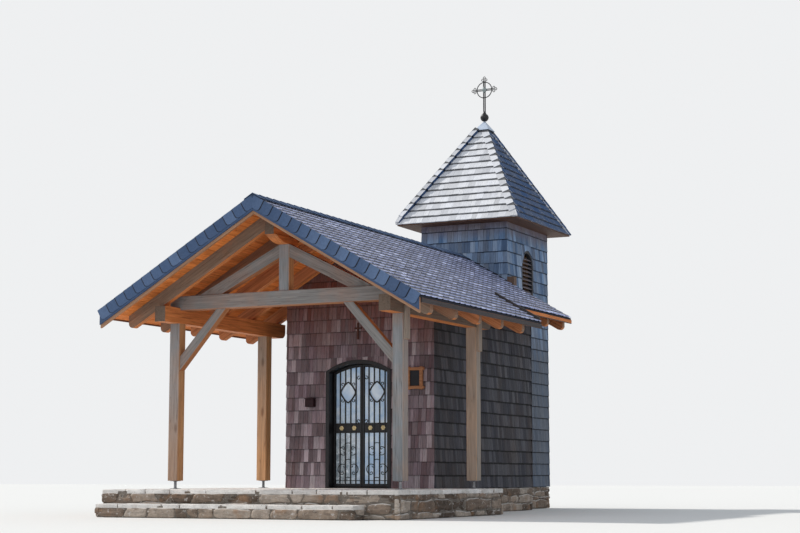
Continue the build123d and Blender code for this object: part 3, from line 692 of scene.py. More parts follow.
# the main slates carry a painted highlight at each lower edge and a painted shadow line under the next slate
roofSlate = slateMaterial("roof_slate",
    ((0.0, (86, 92, 117)), (0.4, (98, 106, 134)), (0.9, (118, 126, 156)), (1.0, (152, 159, 187))), 0.5,
    (122, 118, 138), 0.3, 0.1, butt=3.2, shadowFrom=0.48, foot=2.5)
vergeSlate = slateMaterial("verge_slate",
    ((0.0, (66, 84, 114)), (0.6, (76, 96, 128)), (1.0, (94, 114, 146))), 0.85, (86, 102, 128), 0.4, 1.0, 0.15,
    butt=1.0)
slateBed = slateMaterial("slate_bed",
    ((0.0, (28, 31, 40)), (1.0, (40, 43, 52))), 0.8, (36, 36, 42), 0.3, 0.7, 0.2)
warm, deepWarm, silver = (222, 140, 80), (160, 86, 42), (136, 135, 134)
beam, deepBeam = (184, 122, 78), (134, 82, 48)
postWood = woodMaterial("post_timber", 2, (202, 152, 106), (156, 108, 70), (140, 144, 148), 1.0,
                        lowLeft=0.5)
rearPostWood = woodMaterial("rear_post_timber", 2, (226, 170, 118), (182, 130, 84), (158, 146, 135), 2.6,
                            lowLeft=0.74)
beamWood = woodMaterial("beam_timber", 0, beam, deepBeam, silver, 1.0)
strutWood = woodMaterial("strut_timber", 0, beam, deepBeam, silver, 1.0, tilt=26.4)
braceWood = woodMaterial("brace_timber", 0, beam, deepBeam, silver, 1.0, tilt=47.6)
purlinWood = woodMaterial("purlin_timber", 1, warm, deepWarm, (114, 100, 88), 1.6)
rafterWood = woodMaterial("rafter_timber", 0, warm, deepWarm, (140, 122, 106), 1.1, tilt=30.4)
boardWood = woodMaterial("soffit_boards", 1, (236, 144, 74), (180, 94, 40), (196, 134, 84), 0.2, planks=True)
bargeWood = woodMaterial("barge_timber", 0, (180, 132, 98), (132, 90, 62), (170, 132, 106), 0.8, tilt=30.4)
eavesWood = woodMaterial("eaves_timber", 1, (138, 92, 62), (96, 60, 40), (64, 58, 60), 1.4)
# painted shadow: the step battens are coloured dark for the shadow under the step in the slates
battenWood = woodMaterial("batten_timber", 0, (62, 57, 57), (44, 40, 41), (58, 55, 57), 0.5, tilt=30.4)
blockWood = woodMaterial("block_timber", 2, (100, 78, 66), (72, 56, 48), (94, 80, 72), 0.6)
# painted shade: the tower's soffit boards are coloured a dark brown for the shade under its eaves
towerSoffitWood = woodMaterial("tower_soffit_boards", 1, (92, 60, 44), (62, 42, 32), (80, 60, 48), 0.2)
sheathingWood = woodMaterial("sheathing_boards", 0, (186, 146, 106), (140, 102, 70), (160, 136, 112), 0.2)
crossWood = woodMaterial("cross_timber", 2, (80, 46, 36), (54, 30, 24), (72, 46, 38), 0.4)
caseWood = woodMaterial("case_timber", 0, (172, 118, 80), (126, 84, 56), (156, 120, 94), 0.3)
louvreWood = woodMaterial("louvre_slat", 1, (108, 100, 106), (78, 72, 78), (104, 100, 108), 0.4)
rubble = stoneMaterial("rubble_stone",
    ((0.0, (90, 79, 70)), (0.3, (120, 105, 93)), (0.6, (146, 130, 116)), (1.0, (182, 170, 158))),
    (226, 223, 219), 0.88, patches=0.7)
paving = stoneMaterial("paving_stone",
    ((0.0, (204, 200, 196)), (0.5, (220, 217, 213)), (1.0, (232, 229, 226))),
    (228, 226, 223), 0.7, patches=0.15, depth=0.5)
mortar = stoneMaterial("mortar", ((0.0, (112, 104, 96)), (1.0, (134, 126, 117))), (160, 154, 148), 0.3, 0.95)
blackIron = metalMaterial("black_iron", (14, 15, 18), (34, 34, 38), 0.42, 0.35)
greySteel = metalMaterial("steel", (96, 98, 102), (150, 152, 156), 0.45, 0.8)
paleTin = metalMaterial("pale_tin", (104, 114, 116), (148, 158, 158), 0.5, 0.3)
leadSheet = metalMaterial("lead_sheet", (150, 164, 184), (186, 198, 214), 0.55, 0.25, 6.0, 0.003)
brassSheet = metalMaterial("brass", (176, 158, 112), (222, 206, 164), 0.4, 0.6, 30.0)
darkRed = metalMaterial("red_paint", (28, 10, 16), (42, 16, 23), 0.6, 0.0, 22.0, 0.0006, 0.25)
darkPanel = metalMaterial("dark_panel", (14, 15, 20), (28, 31, 39), 0.5, 0.0, 8.0, 0.0003, 0.25)
darkSlot = metalMaterial("louvre_rim", (22, 24, 30), (40, 42, 50), 0.6, 0.0)

pane = paneMaterial()
print("materials ready")


finish = {
    "front_posts": postWood, "rear_posts": rearPostWood, "king_post": postWood,
    "tie_beam": beamWood, "struts": strutWood, "knee_braces": braceWood, "ridge_corbel": purlinWood,
    "ridge_purlin": purlinWood, "eaves_purlin_left": purlinWood, "eaves_purlin_right": purlinWood,
    "rafters_left": rafterWood, "rafters_right": rafterWood, "post_cleats": rearPostWood,
    "barge_boards": bargeWood, "eaves_boards_left": eavesWood, "eaves_boards_right": eavesWood,
    "step_battens": battenWood, "corner_block": blockWood, "wall_cross": crossWood,
    "tower_soffit": towerSoffitWood, "tower_cap": leadSheet, "door_frame": blackIron,
}
for name, material in finish.items():
    for slot in nodes[name].material_slots:
        slot.material = material
print("timbers finished")


masonry = {
    "riser": {"rows": (0.07, 0.19), "lengths": (0.17, 0.62), "wavy": 0.02, "slant": 0.035, "joint": 0.0045,
              "cornerCut": 0.07, "rough": 0.045, "standVary": 0.016, "lump": 0.13, "bumpy": 0.009,
              "levels": (-0.05, -0.026, -0.006, 0.003, 0.006), "draws": (0.0, 0.0, 0.006, 0.018, 0.045),
              "limit": 0.0135},
    "slab": {"rows": (0.26, 0.5), "lengths": (0.28, 0.8), "wavy": 0.05, "edgeWavy": 0.2, "slant": 0.1,
             "joint": 0.003, "cornerCut": 0.03, "rough": 0.02, "standVary": 0.004, "lump": 0.3,
             "bumpy": 0.003, "levels": (-0.062, -0.014, -0.006, -0.0035, -0.002),
             "draws": (0.0, 0.0, 0.005, 0.02, 0.07), "limit": 0.0},
    # how far the stones' plane lies behind the node's face, how far the slabs start
    # behind its front, and how far the mortar lies behind it and under the slabs
    "setBack": 0.014, "slabStart": 0.011, "bed": 0.024, "bedDrop": 0.02, "bedBevel": 0.01,
    "slabThickness": 0.05, "side": 5, "leastShrink": 0.35, "crease": 48,
}
compass = ((0, -1, 0), (1, 0, 0), (0, 1, 0), (-1, 0, 0))


def stonework(name, faces, seed, paved):
    # stones on the faces named by their place in the compass, slabs on top, and mortar
    low, high = (np.array(corner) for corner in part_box(name))
    rise = high[2] - low[2] - (masonry["slabThickness"] if paved else 0.0)
    middle, half = (low + high) / 2, (high - low) / 2
    parts = []
    for face in faces:
        outward = np.array(compass[face], float)
        origin = middle + outward * half
        origin[2] = low[2]
        wide = half[1] if outward[0] else half[0]
        base = plane(origin - outward * masonry["setBack"], outward, (0, 0, 1))
        parts.append(layStones(base, -wide, wide, 0.0, rise, masonry["riser"], seed + face))
    addPiece(name + "_stones", parts, rubble, stands=(name,), crease=masonry["crease"])
    if paved:
        # across runs along +X here, because up is +Y and out is +Z
        base = plane((0, 0, high[2]), (0, 0, 1), (0, 1, 0))
        front = low[1] + masonry["slabStart"]
        slabs = layStones(base, low[0], high[0], front, high[1], masonry["slab"], seed + 9)
        addPiece(name + "_slabs", [slabs], paving, crease=masonry["crease"])
    inset = masonry["bed"]
    drop = masonry["bedDrop"] if paved else 0.0
    bed = bar(low + (inset, inset, 0), high - (inset, inset, drop), masonry["bedBevel"])
    addPiece(name + "_bed", [bed], mortar)


stonework("terrace", (0, 1, 2, 3), 11, True)
stonework("lower_step", (0, 1, 3), 31, True)
stonework("nave_plinth", (1, 3), 51, False)
stonework("tower_plinth", (1, 2, 3), 71, False)
print("masonry laid")


shingle = {
    "facade": {"gauge": 0.205, "widths": (0.05, 0.105), "lap": 0.03, "uneven": 0.0025, "ragged": 0.008,
               "buttOut": -0.001, "topOut": -0.018, "thick": 0.015, "wobble": 0.0008, "warp": 0.0004},
    "side": {"gauge": 0.205, "widths": (0.06, 0.14), "lap": 0.03, "uneven": 0.003, "ragged": 0.01,
             "buttOut": -0.001, "topOut": -0.02, "thick": 0.017, "wobble": 0.001, "warp": 0.0005},
    "tower": {"gauge": 0.21, "widths": (0.055, 0.12), "lap": 0.03, "uneven": 0.0025, "ragged": 0.008,
              "buttOut": -0.001, "topOut": -0.021, "thick": 0.018, "wobble": 0.0008, "warp": 0.0004},
    "core": 0.027,
}
core = shingle["core"]

wallLow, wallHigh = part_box("front_wall_head")
pierLow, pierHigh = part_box("front_wall_right")
naveHalf = wallHigh[0]
frontY = wallLow[1]
deckZ = pierLow[2]
gableTop = wallHigh[2]
doorHalf = pierLow[0]
doorSpring = pierHigh[2]
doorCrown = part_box("door_frame")[1][2]
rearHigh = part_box("rear_wall")[1]
towerLow = np.array(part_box("tower_wall_left")[0])
towerHigh = np.array(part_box("tower_wall_right")[1])
towerMiddleY = (towerLow[1] + towerHigh[1]) / 2
# the height at which the two planes of the slates meet
cadRidge = 4.56


def segment(u, centre, half, spring, crown):
    # height of a round or segmental arch over u
    radius = (half ** 2 + (crown - spring) ** 2) / (2 * (crown - spring))
    return crown - radius + np.sqrt(np.maximum(radius ** 2 - (u - centre) ** 2, 0))


def gableHigh(u, middle, foot):
    # the slope of the roof: its top less the distance from the middle times the pitch
    return gableTop - np.abs(u) * tiltSin / tiltCos


def doorLow(u, middle, foot):
    # tiles over the doorway begin at its arch
    arch = segment(u, 0.0, doorHalf, doorSpring, doorCrown)
    over = (np.abs(middle) < doorHalf) & (foot < doorCrown)
    return np.where(over, arch, -farAway)


def pushIn(*faces):
    # points on the outer planes of a wall go in by the depth of the shingles
    def move(points):
        moved = points.copy()
        for axis, limit, side in faces:
            outside = np.abs(points[:, axis] - limit) < 1e-4
            moved[outside, axis] -= side * core
        return moved
    return move


for name in ("front_wall_head", "front_wall_left", "front_wall_right"):
    faces = ((1, frontY, -1), (0, naveHalf, 1), (0, -naveHalf, -1))
    sunkCopy(name + "_core", name, pushIn(*faces), sheathingWood, sideWood)
rearFaces = ((1, rearHigh[1], 1), (0, naveHalf, 1), (0, -naveHalf, -1))
for name, faces in (("right_wall", ((0, naveHalf, 1),)), ("left_wall", ((0, -naveHalf, -1),)),
                    ("rear_wall", rearFaces)):
    sunkCopy(name + "_core", name, pushIn(*faces), sheathingWood, sideWood)

frontPlane = plane((0, frontY, 0), (0, -1, 0), (0, 0, 1))
doorCuts = (-doorHalf, doorHalf)
rows = courses(-naveHalf, naveHalf, deckZ, gableTop, shingle["facade"], 101, doorCuts, doorLow, gableHigh)
facade = layTiles(frontPlane, rows, shingle["facade"], 102)
addPiece("facade_shingles", [facade], facadeWood)

sideTop = gableTop - naveHalf * tiltSin / tiltCos
rearY = rearHigh[1]
sides = []
for seed, sign in ((110, 1), (120, -1)):
    wall = plane((sign * naveHalf, 0, 0), (sign, 0, 0), (0, 0, 1))
    ends = (frontY + core, rearY - 0.001) if sign > 0 else (-rearY + 0.001, -frontY - core)
    rows = courses(*ends, deckZ, sideTop, shingle["side"], seed)
    sides.append(layTiles(wall, rows, shingle["side"], seed + 1))
rearPlane = plane((0, rearY, 0), (0, 1, 0), (0, 0, 1))


def behindTower(u, middle, foot):
    # no tiles where the tower stands
    return np.where(np.abs(middle) < towerHigh[0], farAway, -farAway)


cuts = (-towerHigh[0], towerHigh[0])
rows = courses(-naveHalf, naveHalf, deckZ, gableTop, shingle["side"], 130, cuts, behindTower, gableHigh)
sides.append(layTiles(rearPlane, rows, shingle["side"], 131))
addPiece("side_shingles", sides, sideWood)

louvreLow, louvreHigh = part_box("louvre_right")
louvreFoot, louvreCrown = louvreLow[2], louvreHigh[2]
louvreHalf = (louvreHigh[1] - louvreLow[1]) / 2
louvreSpring = louvreCrown - louvreHalf


def louvreClip(sign):
    # the fixed joints beside a louvre, and the heights at which tiles begin over its
    # round head and end under its foot
    centre = sign * towerMiddleY

    def low(u, middle, foot):
        arch = segment(u, centre, louvreHalf, louvreSpring, louvreCrown)
        over = (np.abs(middle - centre) < louvreHalf) & (louvreFoot - 0.02 <= foot < louvreCrown)
        return np.where(over, arch, -farAway)

    def high(u, middle, foot):
        under = (np.abs(middle - centre) < louvreHalf) & (foot < louvreFoot - 0.02)
        return np.where(under, louvreFoot, farAway)

    return (centre - louvreHalf, centre + louvreHalf), low, high


def aboveRoof(u, middle, foot):
    # the height of the roof's planes over u
    return cadRidge - np.abs(u) * tiltSin / tiltCos


towerSides = []
for seed, sign, node in ((210, 1, "tower_wall_right"), (220, -1, "tower_wall_left")):
    faces = ((0, sign * towerHigh[0], sign), (1, towerLow[1], -1), (1, towerHigh[1], 1))
    sunkCopy(node + "_core", node, pushIn(*faces), sheathingWood, sideWood)
    wall = plane((sign * towerHigh[0], 0, 0), (sign, 0, 0), (0, 0, 1))
    ends = sorted((sign * (towerLow[1] + core), sign * (towerHigh[1] - core)))
    cuts, low, high = louvreClip(sign)
    rows = courses(*ends, deckZ, towerHigh[2], shingle["tower"], seed, cuts, low, high)
    towerSides.append(layTiles(wall, rows, shingle["tower"], seed + 1))
towerHalf = towerHigh[0]
for seed, end, y, side, low in ((230, "front", towerLow[1], -1, aboveRoof),
                                (240, "rear", towerHigh[1], 1, None)):
    sunkCopy("tower_" + end + "_core", "tower_wall_" + end, pushIn((1, y, side)), sheathingWood,
             sideWood)
    wall = plane((0, y, 0), (0, side, 0), (0, 0, 1))
    rows = courses(-towerHalf, towerHalf, deckZ, towerHigh[2], shingle["tower"], seed, (), low)
    towerSides.append(layTiles(wall, rows, shingle["tower"], seed + 1))
addPiece("tower_shingles", towerSides, towerWood)
print("walls shingled")


slate = {
    "roof": {"gauge": 0.139, "widths": (0.186, 0.194), "lap": 0.05, "uneven": 0.002, "buttOut": -0.0005,
             "topOut": -0.02, "thick": 0.009, "sideLift": 0.003, "gap": 0.0085,
             "wobble": 0.001, "bond": 0.5},
    "roofShape": ((0, 0), (0.5, 0.0), (0.8, 0.03), (0.93, 0.1), (1, 0.24), (1, 1), (0, 1)),
    "verge": {"gauge": 0.178, "widths": (0.3, 0.4), "lap": 0.045, "uneven": 0.002, "buttOut": -0.0002,
              "topOut": -0.0095, "thick": 0.006, "gap": 0.0, "wobble": 0.0003},
    "vergeShape": ((0, 0.24), (0.04, 0.12), (0.13, 0.03), (0.28, 0), (1, 0), (1, 1), (0, 1)),
    "cap": {"gauge": 0.2, "widths": (0.3, 0.4), "lap": 0.05, "uneven": 0.003, "buttOut": -0.001,
            "topOut": -0.014, "thick": 0.008, "gap": 0.0, "wobble": 0.001},
    # how deep the bed lies under the slates, and how far up the slope its edge is moved
    "core": 0.028, "recess": 0.03,
    # how far short of the eaves the slates end, and those over the rear eaves
    "short": 0.004, "rearShort": 0.003,
    # how far down the slope from the ridge the top rows of slates and verge end
    "ridgeEnd": 0.01, "vergeEnd": 0.03,
    # the verge's depth on the front, how far back its bed lies, and the drop of the dark
    # rims, which are the slates' thick edges with a painted shadow under them, how far short of the eaves
    # they end and how far out they stand
    "vergeDepth": 0.2, "vergeBed": 0.013, "rim": 0.014, "rimShort": 0.002,
    "rimOut": {"buttOut": -0.003, "topOut": -0.0125},
    # the cap's rise over the slates, its reach down each slope, and how high over the
    # slates a point of the node belongs to its top
    "capRise": 0.018, "capReach": 0.14, "capFloor": 0.015,
}
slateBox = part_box("roof_slates_right")
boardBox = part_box("roof_boards_right")
eavesX = slateBox[1][0]
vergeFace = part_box("verge_slates")[0][1]
roofRear = slateBox[1][1]
# where the wide front part of the roof ends, and half the width of the part behind it
stepLine = -0.2825
rearEaves = 2.075
eavesV = -(eavesX - slate["short"]) / tiltCos


def sinkRoof(points):
    # the top of the roof goes down, and its eaves go up the slope
    moved = points.copy()
    on = np.abs(moved[:, 2] - (cadRidge - np.abs(moved[:, 0]) * tiltSin / tiltCos)) < 1e-3
    moved[on, 2] -= slate["core"] / tiltCos
    away = np.abs(points[:, 0])
    edge = (np.abs(away - eavesX) < 1e-3) | (np.abs(away - rearEaves) < 1e-3)
    moved[edge, 0] -= np.sign(points[edge, 0]) * slate["recess"] * tiltCos
    moved[edge, 2] += slate["recess"] * tiltSin
    return moved


def rearLow(u, middle, foot):
    # tiles begin at the rear eaves
    return np.full(len(middle), -(rearEaves - slate["rearShort"]) / tiltCos)


def handed(outline, sign):
    # a tile's outline, with s turned to 1 - s on the left-hand side
    return outline if sign > 0 else [(1 - s, t) for s, t in outline][::-1]


# the rows under the rear eaves belong to the wide front part alone; the row that the
# rear eaves cut is laid in two parts, and every row above it runs the whole length
gauge = slate["roof"]["gauge"]
step = int(np.ceil((eavesX - rearEaves) / tiltCos / gauge))
stepTop, ridgeV = eavesV + step * gauge, -slate["ridgeEnd"]
runs = (
    (0, vergeFace, stepLine, 0, stepTop, slate["roof"]["lap"], None),
    (3, stepLine, roofRear, step - 1, stepTop, slate["roof"]["lap"], rearLow),
    (5, vergeFace, roofRear, step, ridgeV, 0.0, None),
)
roofTiles = []
for seed, sign, node in ((310, 1, "roof_slates_right"), (330, -1, "roof_slates_left")):
    sunkCopy(node + "_core", node, sinkRoof, slateBed)
    slope = plane((0, 0, cadRidge), (sign * tiltSin, 0, tiltCos), (-sign * tiltCos, 0, tiltSin))
    for more, y0, y1, first, v1, over, low in runs:
        ends = (y0, y1) if sign > 0 else (-y1, -y0)
        setting = dict(slate["roof"], first=first, over=over)
        rows = courses(*ends, eavesV + first * gauge, v1, setting, seed + more, (), low)
        # each slate leans sideways: the side at s = 1 lies higher on the right-hand slope
        # and lower on the left-hand one
        setting["sideLift"] *= sign
        setting["buttOut"] -= setting["sideLift"]
        if sign < 0:
            setting["topOut"] -= setting["sideLift"]
        roofTiles.append(layTiles(slope, rows, setting, seed + more + 1, handed(slate["roofShape"], sign)))
addPiece("roof_slates", roofTiles, roofSlate)

vergeTiles, vergeShadowRims, capTiles = [], [], []
depth = slate["vergeDepth"] * tiltCos
for seed, sign in ((350, 1), (360, -1)):
    rake = plane((0, vergeFace, cadRidge), (0, -1, 0), (-sign * tiltCos, 0, tiltSin))
    span = (-depth, 0.0) if sign > 0 else (0.0, depth)
    shape = handed(slate["vergeShape"], sign)
    rows = courses(*span, eavesV, -slate["vergeEnd"], slate["verge"], seed)
    vergeTiles.append(layTiles(rake, rows, slate["verge"], seed + 1, shape))
    # the thick lower edge of each slate and a painted shadow under it show as a dark line that follows its
    # rounded corner
    shadowRims = rows.copy()
    shadowRims[:, :2, 1] = np.maximum(shadowRims[:, :2, 1] - slate["rim"], -(eavesX - slate["rimShort"]) / tiltCos)
    vergeShadowRims.append(layTiles(rake, shadowRims, dict(slate["verge"], **slate["rimOut"]), seed + 1, shape))
    lid = plane((0, 0, cadRidge + slate["capRise"] / tiltCos), (sign * tiltSin, 0, tiltCos), (0, 1, 0))
    reach = slate["capReach"] / tiltCos
    span = (0.002, reach) if sign > 0 else (-reach, -0.002)
    rows = courses(*span, vergeFace, roofRear, slate["cap"], seed + 3)
    capTiles.append(layTiles(lid, rows, slate["cap"], seed + 4))


def sinkVerge(points):
    # points on the front face go back
    moved = points.copy()
    moved[np.abs(points[:, 1] - vergeFace) < 1e-4, 1] = vergeFace + slate["vergeBed"]
    return moved


def sinkCap(points):
    # points higher over the slates' planes than capFloor go down
    moved = points.copy()
    on = moved[:, 2] > cadRidge + slate["capFloor"] / tiltCos - np.abs(moved[:, 0]) * tiltSin / tiltCos
    moved[on, 2] -= slate["core"] / tiltCos
    return moved


sunkCopy("verge_core", "verge_slates", sinkVerge, vergeSlate)
sunkCopy("cap_core", "ridge_cap", sinkCap, slateBed)
addPiece("verge_tiles", vergeTiles, vergeSlate)
addPiece("verge_shadow_rims", vergeShadowRims, slateBed)
addPiece("cap_tiles", capTiles, vergeSlate)

soffit = {"board": 0.121, "bevel": 0.007, "gap": 0.0012, "top": 0.05, "foot": 0.1}
slopeLength = boardBox[1][0] / tiltCos
count = int(slopeLength / soffit["board"])
inner = np.arange(count) * slopeLength / count
outer = inner + slopeLength / count - soffit["gap"]
rearmost = np.where(outer * tiltCos > rearEaves, stepLine, roofRear)
# a six-sided bar between the two depths under the slates, its lower corners cut for the
# V joint: along counts down the slope, depth square to it
b, top, foot = soffit["bevel"], soffit["top"], soffit["foot"]
along = np.stack((inner, inner, inner + b, outer - b, outer, outer), -1)
depth = np.array((top, foot - b, foot, foot, foot - b, top))
z = cadRidge - along * tiltSin - depth / tiltCos
boards = []
source = np.random.default_rng(400)
for sign in (1, -1):
    rings = []
    for y in (np.full(count, boardBox[0][1]), rearmost):
        ends = np.broadcast_to(y[:, None], along.shape)
        rings.append(np.stack((sign * along * tiltCos, ends, z), -1))
    boards.append(loft(np.stack(rings, 1), tone=source.random((count, 3))))
roofBoards = ("roof_boards_left", "roof_boards_right")
addPiece("soffit_boards", boards, boardWood, stands=roofBoards)
print("main roof covered")


spire = {
    "rows": 14, "widths": (0.08, 0.16), "lap": 0.03, "uneven": 0.005, "ragged": 0.014, "buttOut": -0.003,
    "topOut": -0.025, "thick": 0.018, "gap": 0.0005, "wobble": 0.0004, "warp": 0.0002, "core": 0.04,
    # boards along a raised hip and along a flush one
    "raised": {"width": 0.095, "proud": 0.052, "lap": 0.039, "thick": 0.075},
    "flush": {"width": 0.13, "proud": 0.012, "lap": 0.009, "thick": 0.035}, "hipLean": 0.012,
    # how far a hip board runs under the next, and how far short of the hip shingles end
    "hipLap": 0.03, "hipShort": 0.003, "hipLeast": 0.002,
}
spireLow, spireHigh = (np.array(c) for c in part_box("tower_roof"))
halfX, halfY = spireHigh[0], (spireHigh[1] - spireLow[1]) / 2
# the slopes are followed up from the cut top to the point where they meet
lid = np.array([v.co for v in nodes["tower_roof"].data.vertices])
lidHalf = np.abs(lid[lid[:, 2] > spireHigh[2] - 1e-4, 0]).max()
spireRise = (spireHigh[2] - spireLow[2]) * halfX / (halfX - lidHalf)
capTop = spireLow[2] + spireRise


def shrinkSpire(points):
    # a point is on a slope where |x| or |y| is half the foot's width times the share of
    # the rise that is left over it; such points go in along x and y
    moved = points.copy()
    share = 1 - (moved[:, 2] - spireLow[2]) / spireRise
    onX = np.abs(np.abs(moved[:, 0]) - halfX * share) < 2e-3
    onY = np.abs(np.abs(moved[:, 1] - towerMiddleY) - halfY * share) < 2e-3
    outer = onX | onY
    moved[outer, 0] -= np.sign(moved[outer, 0]) * spire["core"]
    moved[outer, 1] -= np.sign(moved[outer, 1] - towerMiddleY) * spire["core"]
    return moved


sunkCopy("spire_core", "tower_roof", shrinkSpire, spireWood)
spireTiles, hipTiles = [], []
for seed, outward in zip((410, 420, 430, 440), compass):
    outward = np.array(outward, float)
    run, wide = (halfX, halfY) if outward[0] else (halfY, halfX)
    foot = np.array((0, towerMiddleY, spireLow[2])) + outward * run
    rise = np.array((0, towerMiddleY, capTop)) - foot
    length = np.linalg.norm(rise)
    face = plane(foot, outward * spireRise + np.array((0, 0, run)), rise)

    def hipHalf(v):
        # half the slope's width at a height
        return max(wide * (1 - v / length) - spire["hipShort"], spire["hipLeast"])

    top = length * (spireHigh[2] - spireLow[2]) / spireRise
    setting = dict(spire, gauge=top / spire["rows"])
    rows = courses(-wide, wide, 0.0, top, setting, seed, taper=hipHalf)
    spireTiles.append(layTiles(face, rows, setting, seed + 1))
    # hip boards: their long side lies on the hip, square to it at the butt
    for side in (-1, 1):
        hip = unit((-side * wide, length))
        inward = side * np.array((-hip[1], hip[0]))
        step = np.hypot(wide, length) * (spireHigh[2] - spireLow[2]) / spireRise / spire["rows"]
        # the two left-hand hips are raised; boards reach past their hip, so that they
        # meet over it
        corner = onPlane(face, np.array(side * wide), np.array(0.0), np.array(0.0))
        hipBoard = spire["raised" if corner[0] < 0 else "flush"]
        across = inward * hipBoard["width"]
        up = hip * (step + spire["hipLap"])
        number = np.arange(spire["rows"])[:, None]
        onHip = np.array((side * wide, 0.0)) - inward * hipBoard["lap"] + hip * (number * step)
        # the inner corner of the lowest board starts at the height of its outer one
        lift = np.where(number == 0, abs(inward[1]) * hipBoard["width"] / hip[1], 0.0)
        corners = [onHip, onHip + across + hip * lift, onHip + across + up, onHip + up]
        if side > 0:
            corners = [corners[index] for index in (1, 0, 3, 2)]
        setting = dict(spire, gauge=step, buttOut=hipBoard["proud"], thick=hipBoard["thick"],
                       topOut=hipBoard["proud"] - spire["hipLean"], thin=0.0, ragged=0.0)
        board = layTiles(face, np.stack(corners, 1), setting, seed + 3 + side)
        # the lowest boards are cut off plumb at the eaves
        low, high = (-halfX, spireLow[1], spireLow[2]), (halfX, spireHigh[1], farAway)
        board["verts"] = np.clip(board["verts"], low, high)
        hipTiles.append(board)
addPiece("spire_shingles", spireTiles, spireWood)
addPiece("spire_hips", hipTiles, spireWood)
print("tower roof covered")


louvre = {
    "rim": 0.045, "depth": 0.075, "pitch": 0.075, "slat": 0.07, "thick": 0.011, "tilt": 40, "bevel": 0.0025,
    # how far a slat's ends run into the rim, and the least half length of a slat
    "tuck": 0.004, "least": 0.02,
}
rim, arcMiddle = louvre["rim"], [0, louvreSpring]
# the rim follows the jambs and the round head, as a flat bar with its inner edge inside
# them by the rim's width: (0, spring) + half * (cos, sin)
angle = np.linspace(0, np.pi, 25)
head = np.stack((louvreHalf * np.cos(angle), louvreSpring + louvreHalf * np.sin(angle)), -1)
path = np.concatenate(([[louvreHalf, louvreFoot]], head, [[-louvreHalf, louvreFoot]]))
inner = path.copy()
inner[1:-1] = arcMiddle + (head - arcMiddle) * (1 - rim / louvreHalf)
inner[0] = (louvreHalf - rim, louvreFoot + rim)
inner[-1] = (-louvreHalf + rim, louvreFoot + rim)
for sign, node in ((1, "louvre_right"), (-1, "louvre_left")):
    low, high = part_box(node)
    front = high[0] if sign > 0 else -low[0]
    back = front - louvre["depth"]
    ring = []
    for spot, depth in ((path, back), (path, front), (inner, front), (inner, back)):
        ring.append(np.stack((np.full(len(path), depth) * sign, towerMiddleY + spot[:, 0], spot[:, 1]), -1))
    hoop = loft(np.stack(ring, 1)[None], closed=True)
    addPiece(node + "_rim", [hoop], darkSlot, stands=(node,), crease=30)
    slats = []
    for index in range(int((louvreCrown - louvreFoot - 2 * rim) / louvre["pitch"])):
        z = louvreFoot + rim + louvre["pitch"] * (index + 0.5)
        # half the opening's width at this height: the root of radius squared less rise squared
        rise = max(z - louvreSpring, 0)
        half = np.sqrt(max((louvreHalf - rim + louvre["tuck"]) ** 2 - rise ** 2, louvre["least"] ** 2))
        corner = np.array((louvre["slat"] / 2, half, louvre["thick"] / 2))
        slat = bar((0, towerMiddleY, 0) - corner, (0, towerMiddleY, 0) + corner, louvre["bevel"], along=1)
        # turned about its length
        lean = np.radians(louvre["tilt"]) * sign
        turn = np.array(((np.cos(lean), 0, -np.sin(lean)), (0, 1, 0), (np.sin(lean), 0, np.cos(lean))))
        slat["verts"] = slat["verts"] @ turn + (sign * (front - louvre["depth"] / 2), 0, z)
        slats.append(slat)
    addPiece(node + "_slats", slats, louvreWood)
print("louvres hung")


finial = {
    "ball": 0.078, "collar": ((0.034, 0.0), (0.036, 0.012), (0.024, 0.03), (0.02, 0.05)), "collarRise": 0.068,
    # the cross: twin round bars with their feet over the ball's middle and their tops
    # under the finial's, and the height of its middle under the top
    "bar": 0.011, "apart": 0.03, "barFoot": 0.07, "barTop": 0.11, "middle": 0.287,
    "ring": 0.15, "ringShare": 0.8, "arm": 0.235, "armShort": 0.05, "armShare": 0.75, "armApart": 0.4,
    # a tip's three small rings: their radius and their bar's, how far short of the arm's
    # end their middle is, and where they stand from it as (along, sideways)
    "tip": 0.021, "tipBar": 0.0065, "tipShort": 0.012,
    "tipSpots": ((0.012, 0.0), (-0.03, 0.034), (-0.03, -0.034)),
    # the heart's outline in (x, z), and how it narrows over y
    "heart": ((0, -0.062), (0.03, -0.028), (0.052, 0.002), (0.03, 0.034), (0, 0.062), (-0.03, 0.034),
              (-0.052, 0.002), (-0.03, -0.028)),
    "heartSteps": ((0.72, -0.018), (1.0, -0.012), (1.0, 0.012), (0.72, 0.018)),
}
finialLow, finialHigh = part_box("finial")
ballZ = finialLow[2] + finial["ball"]
axis = np.array((0, towerMiddleY, 0))
crossMiddle = axis + (0, 0, finialHigh[2] - finial["middle"])
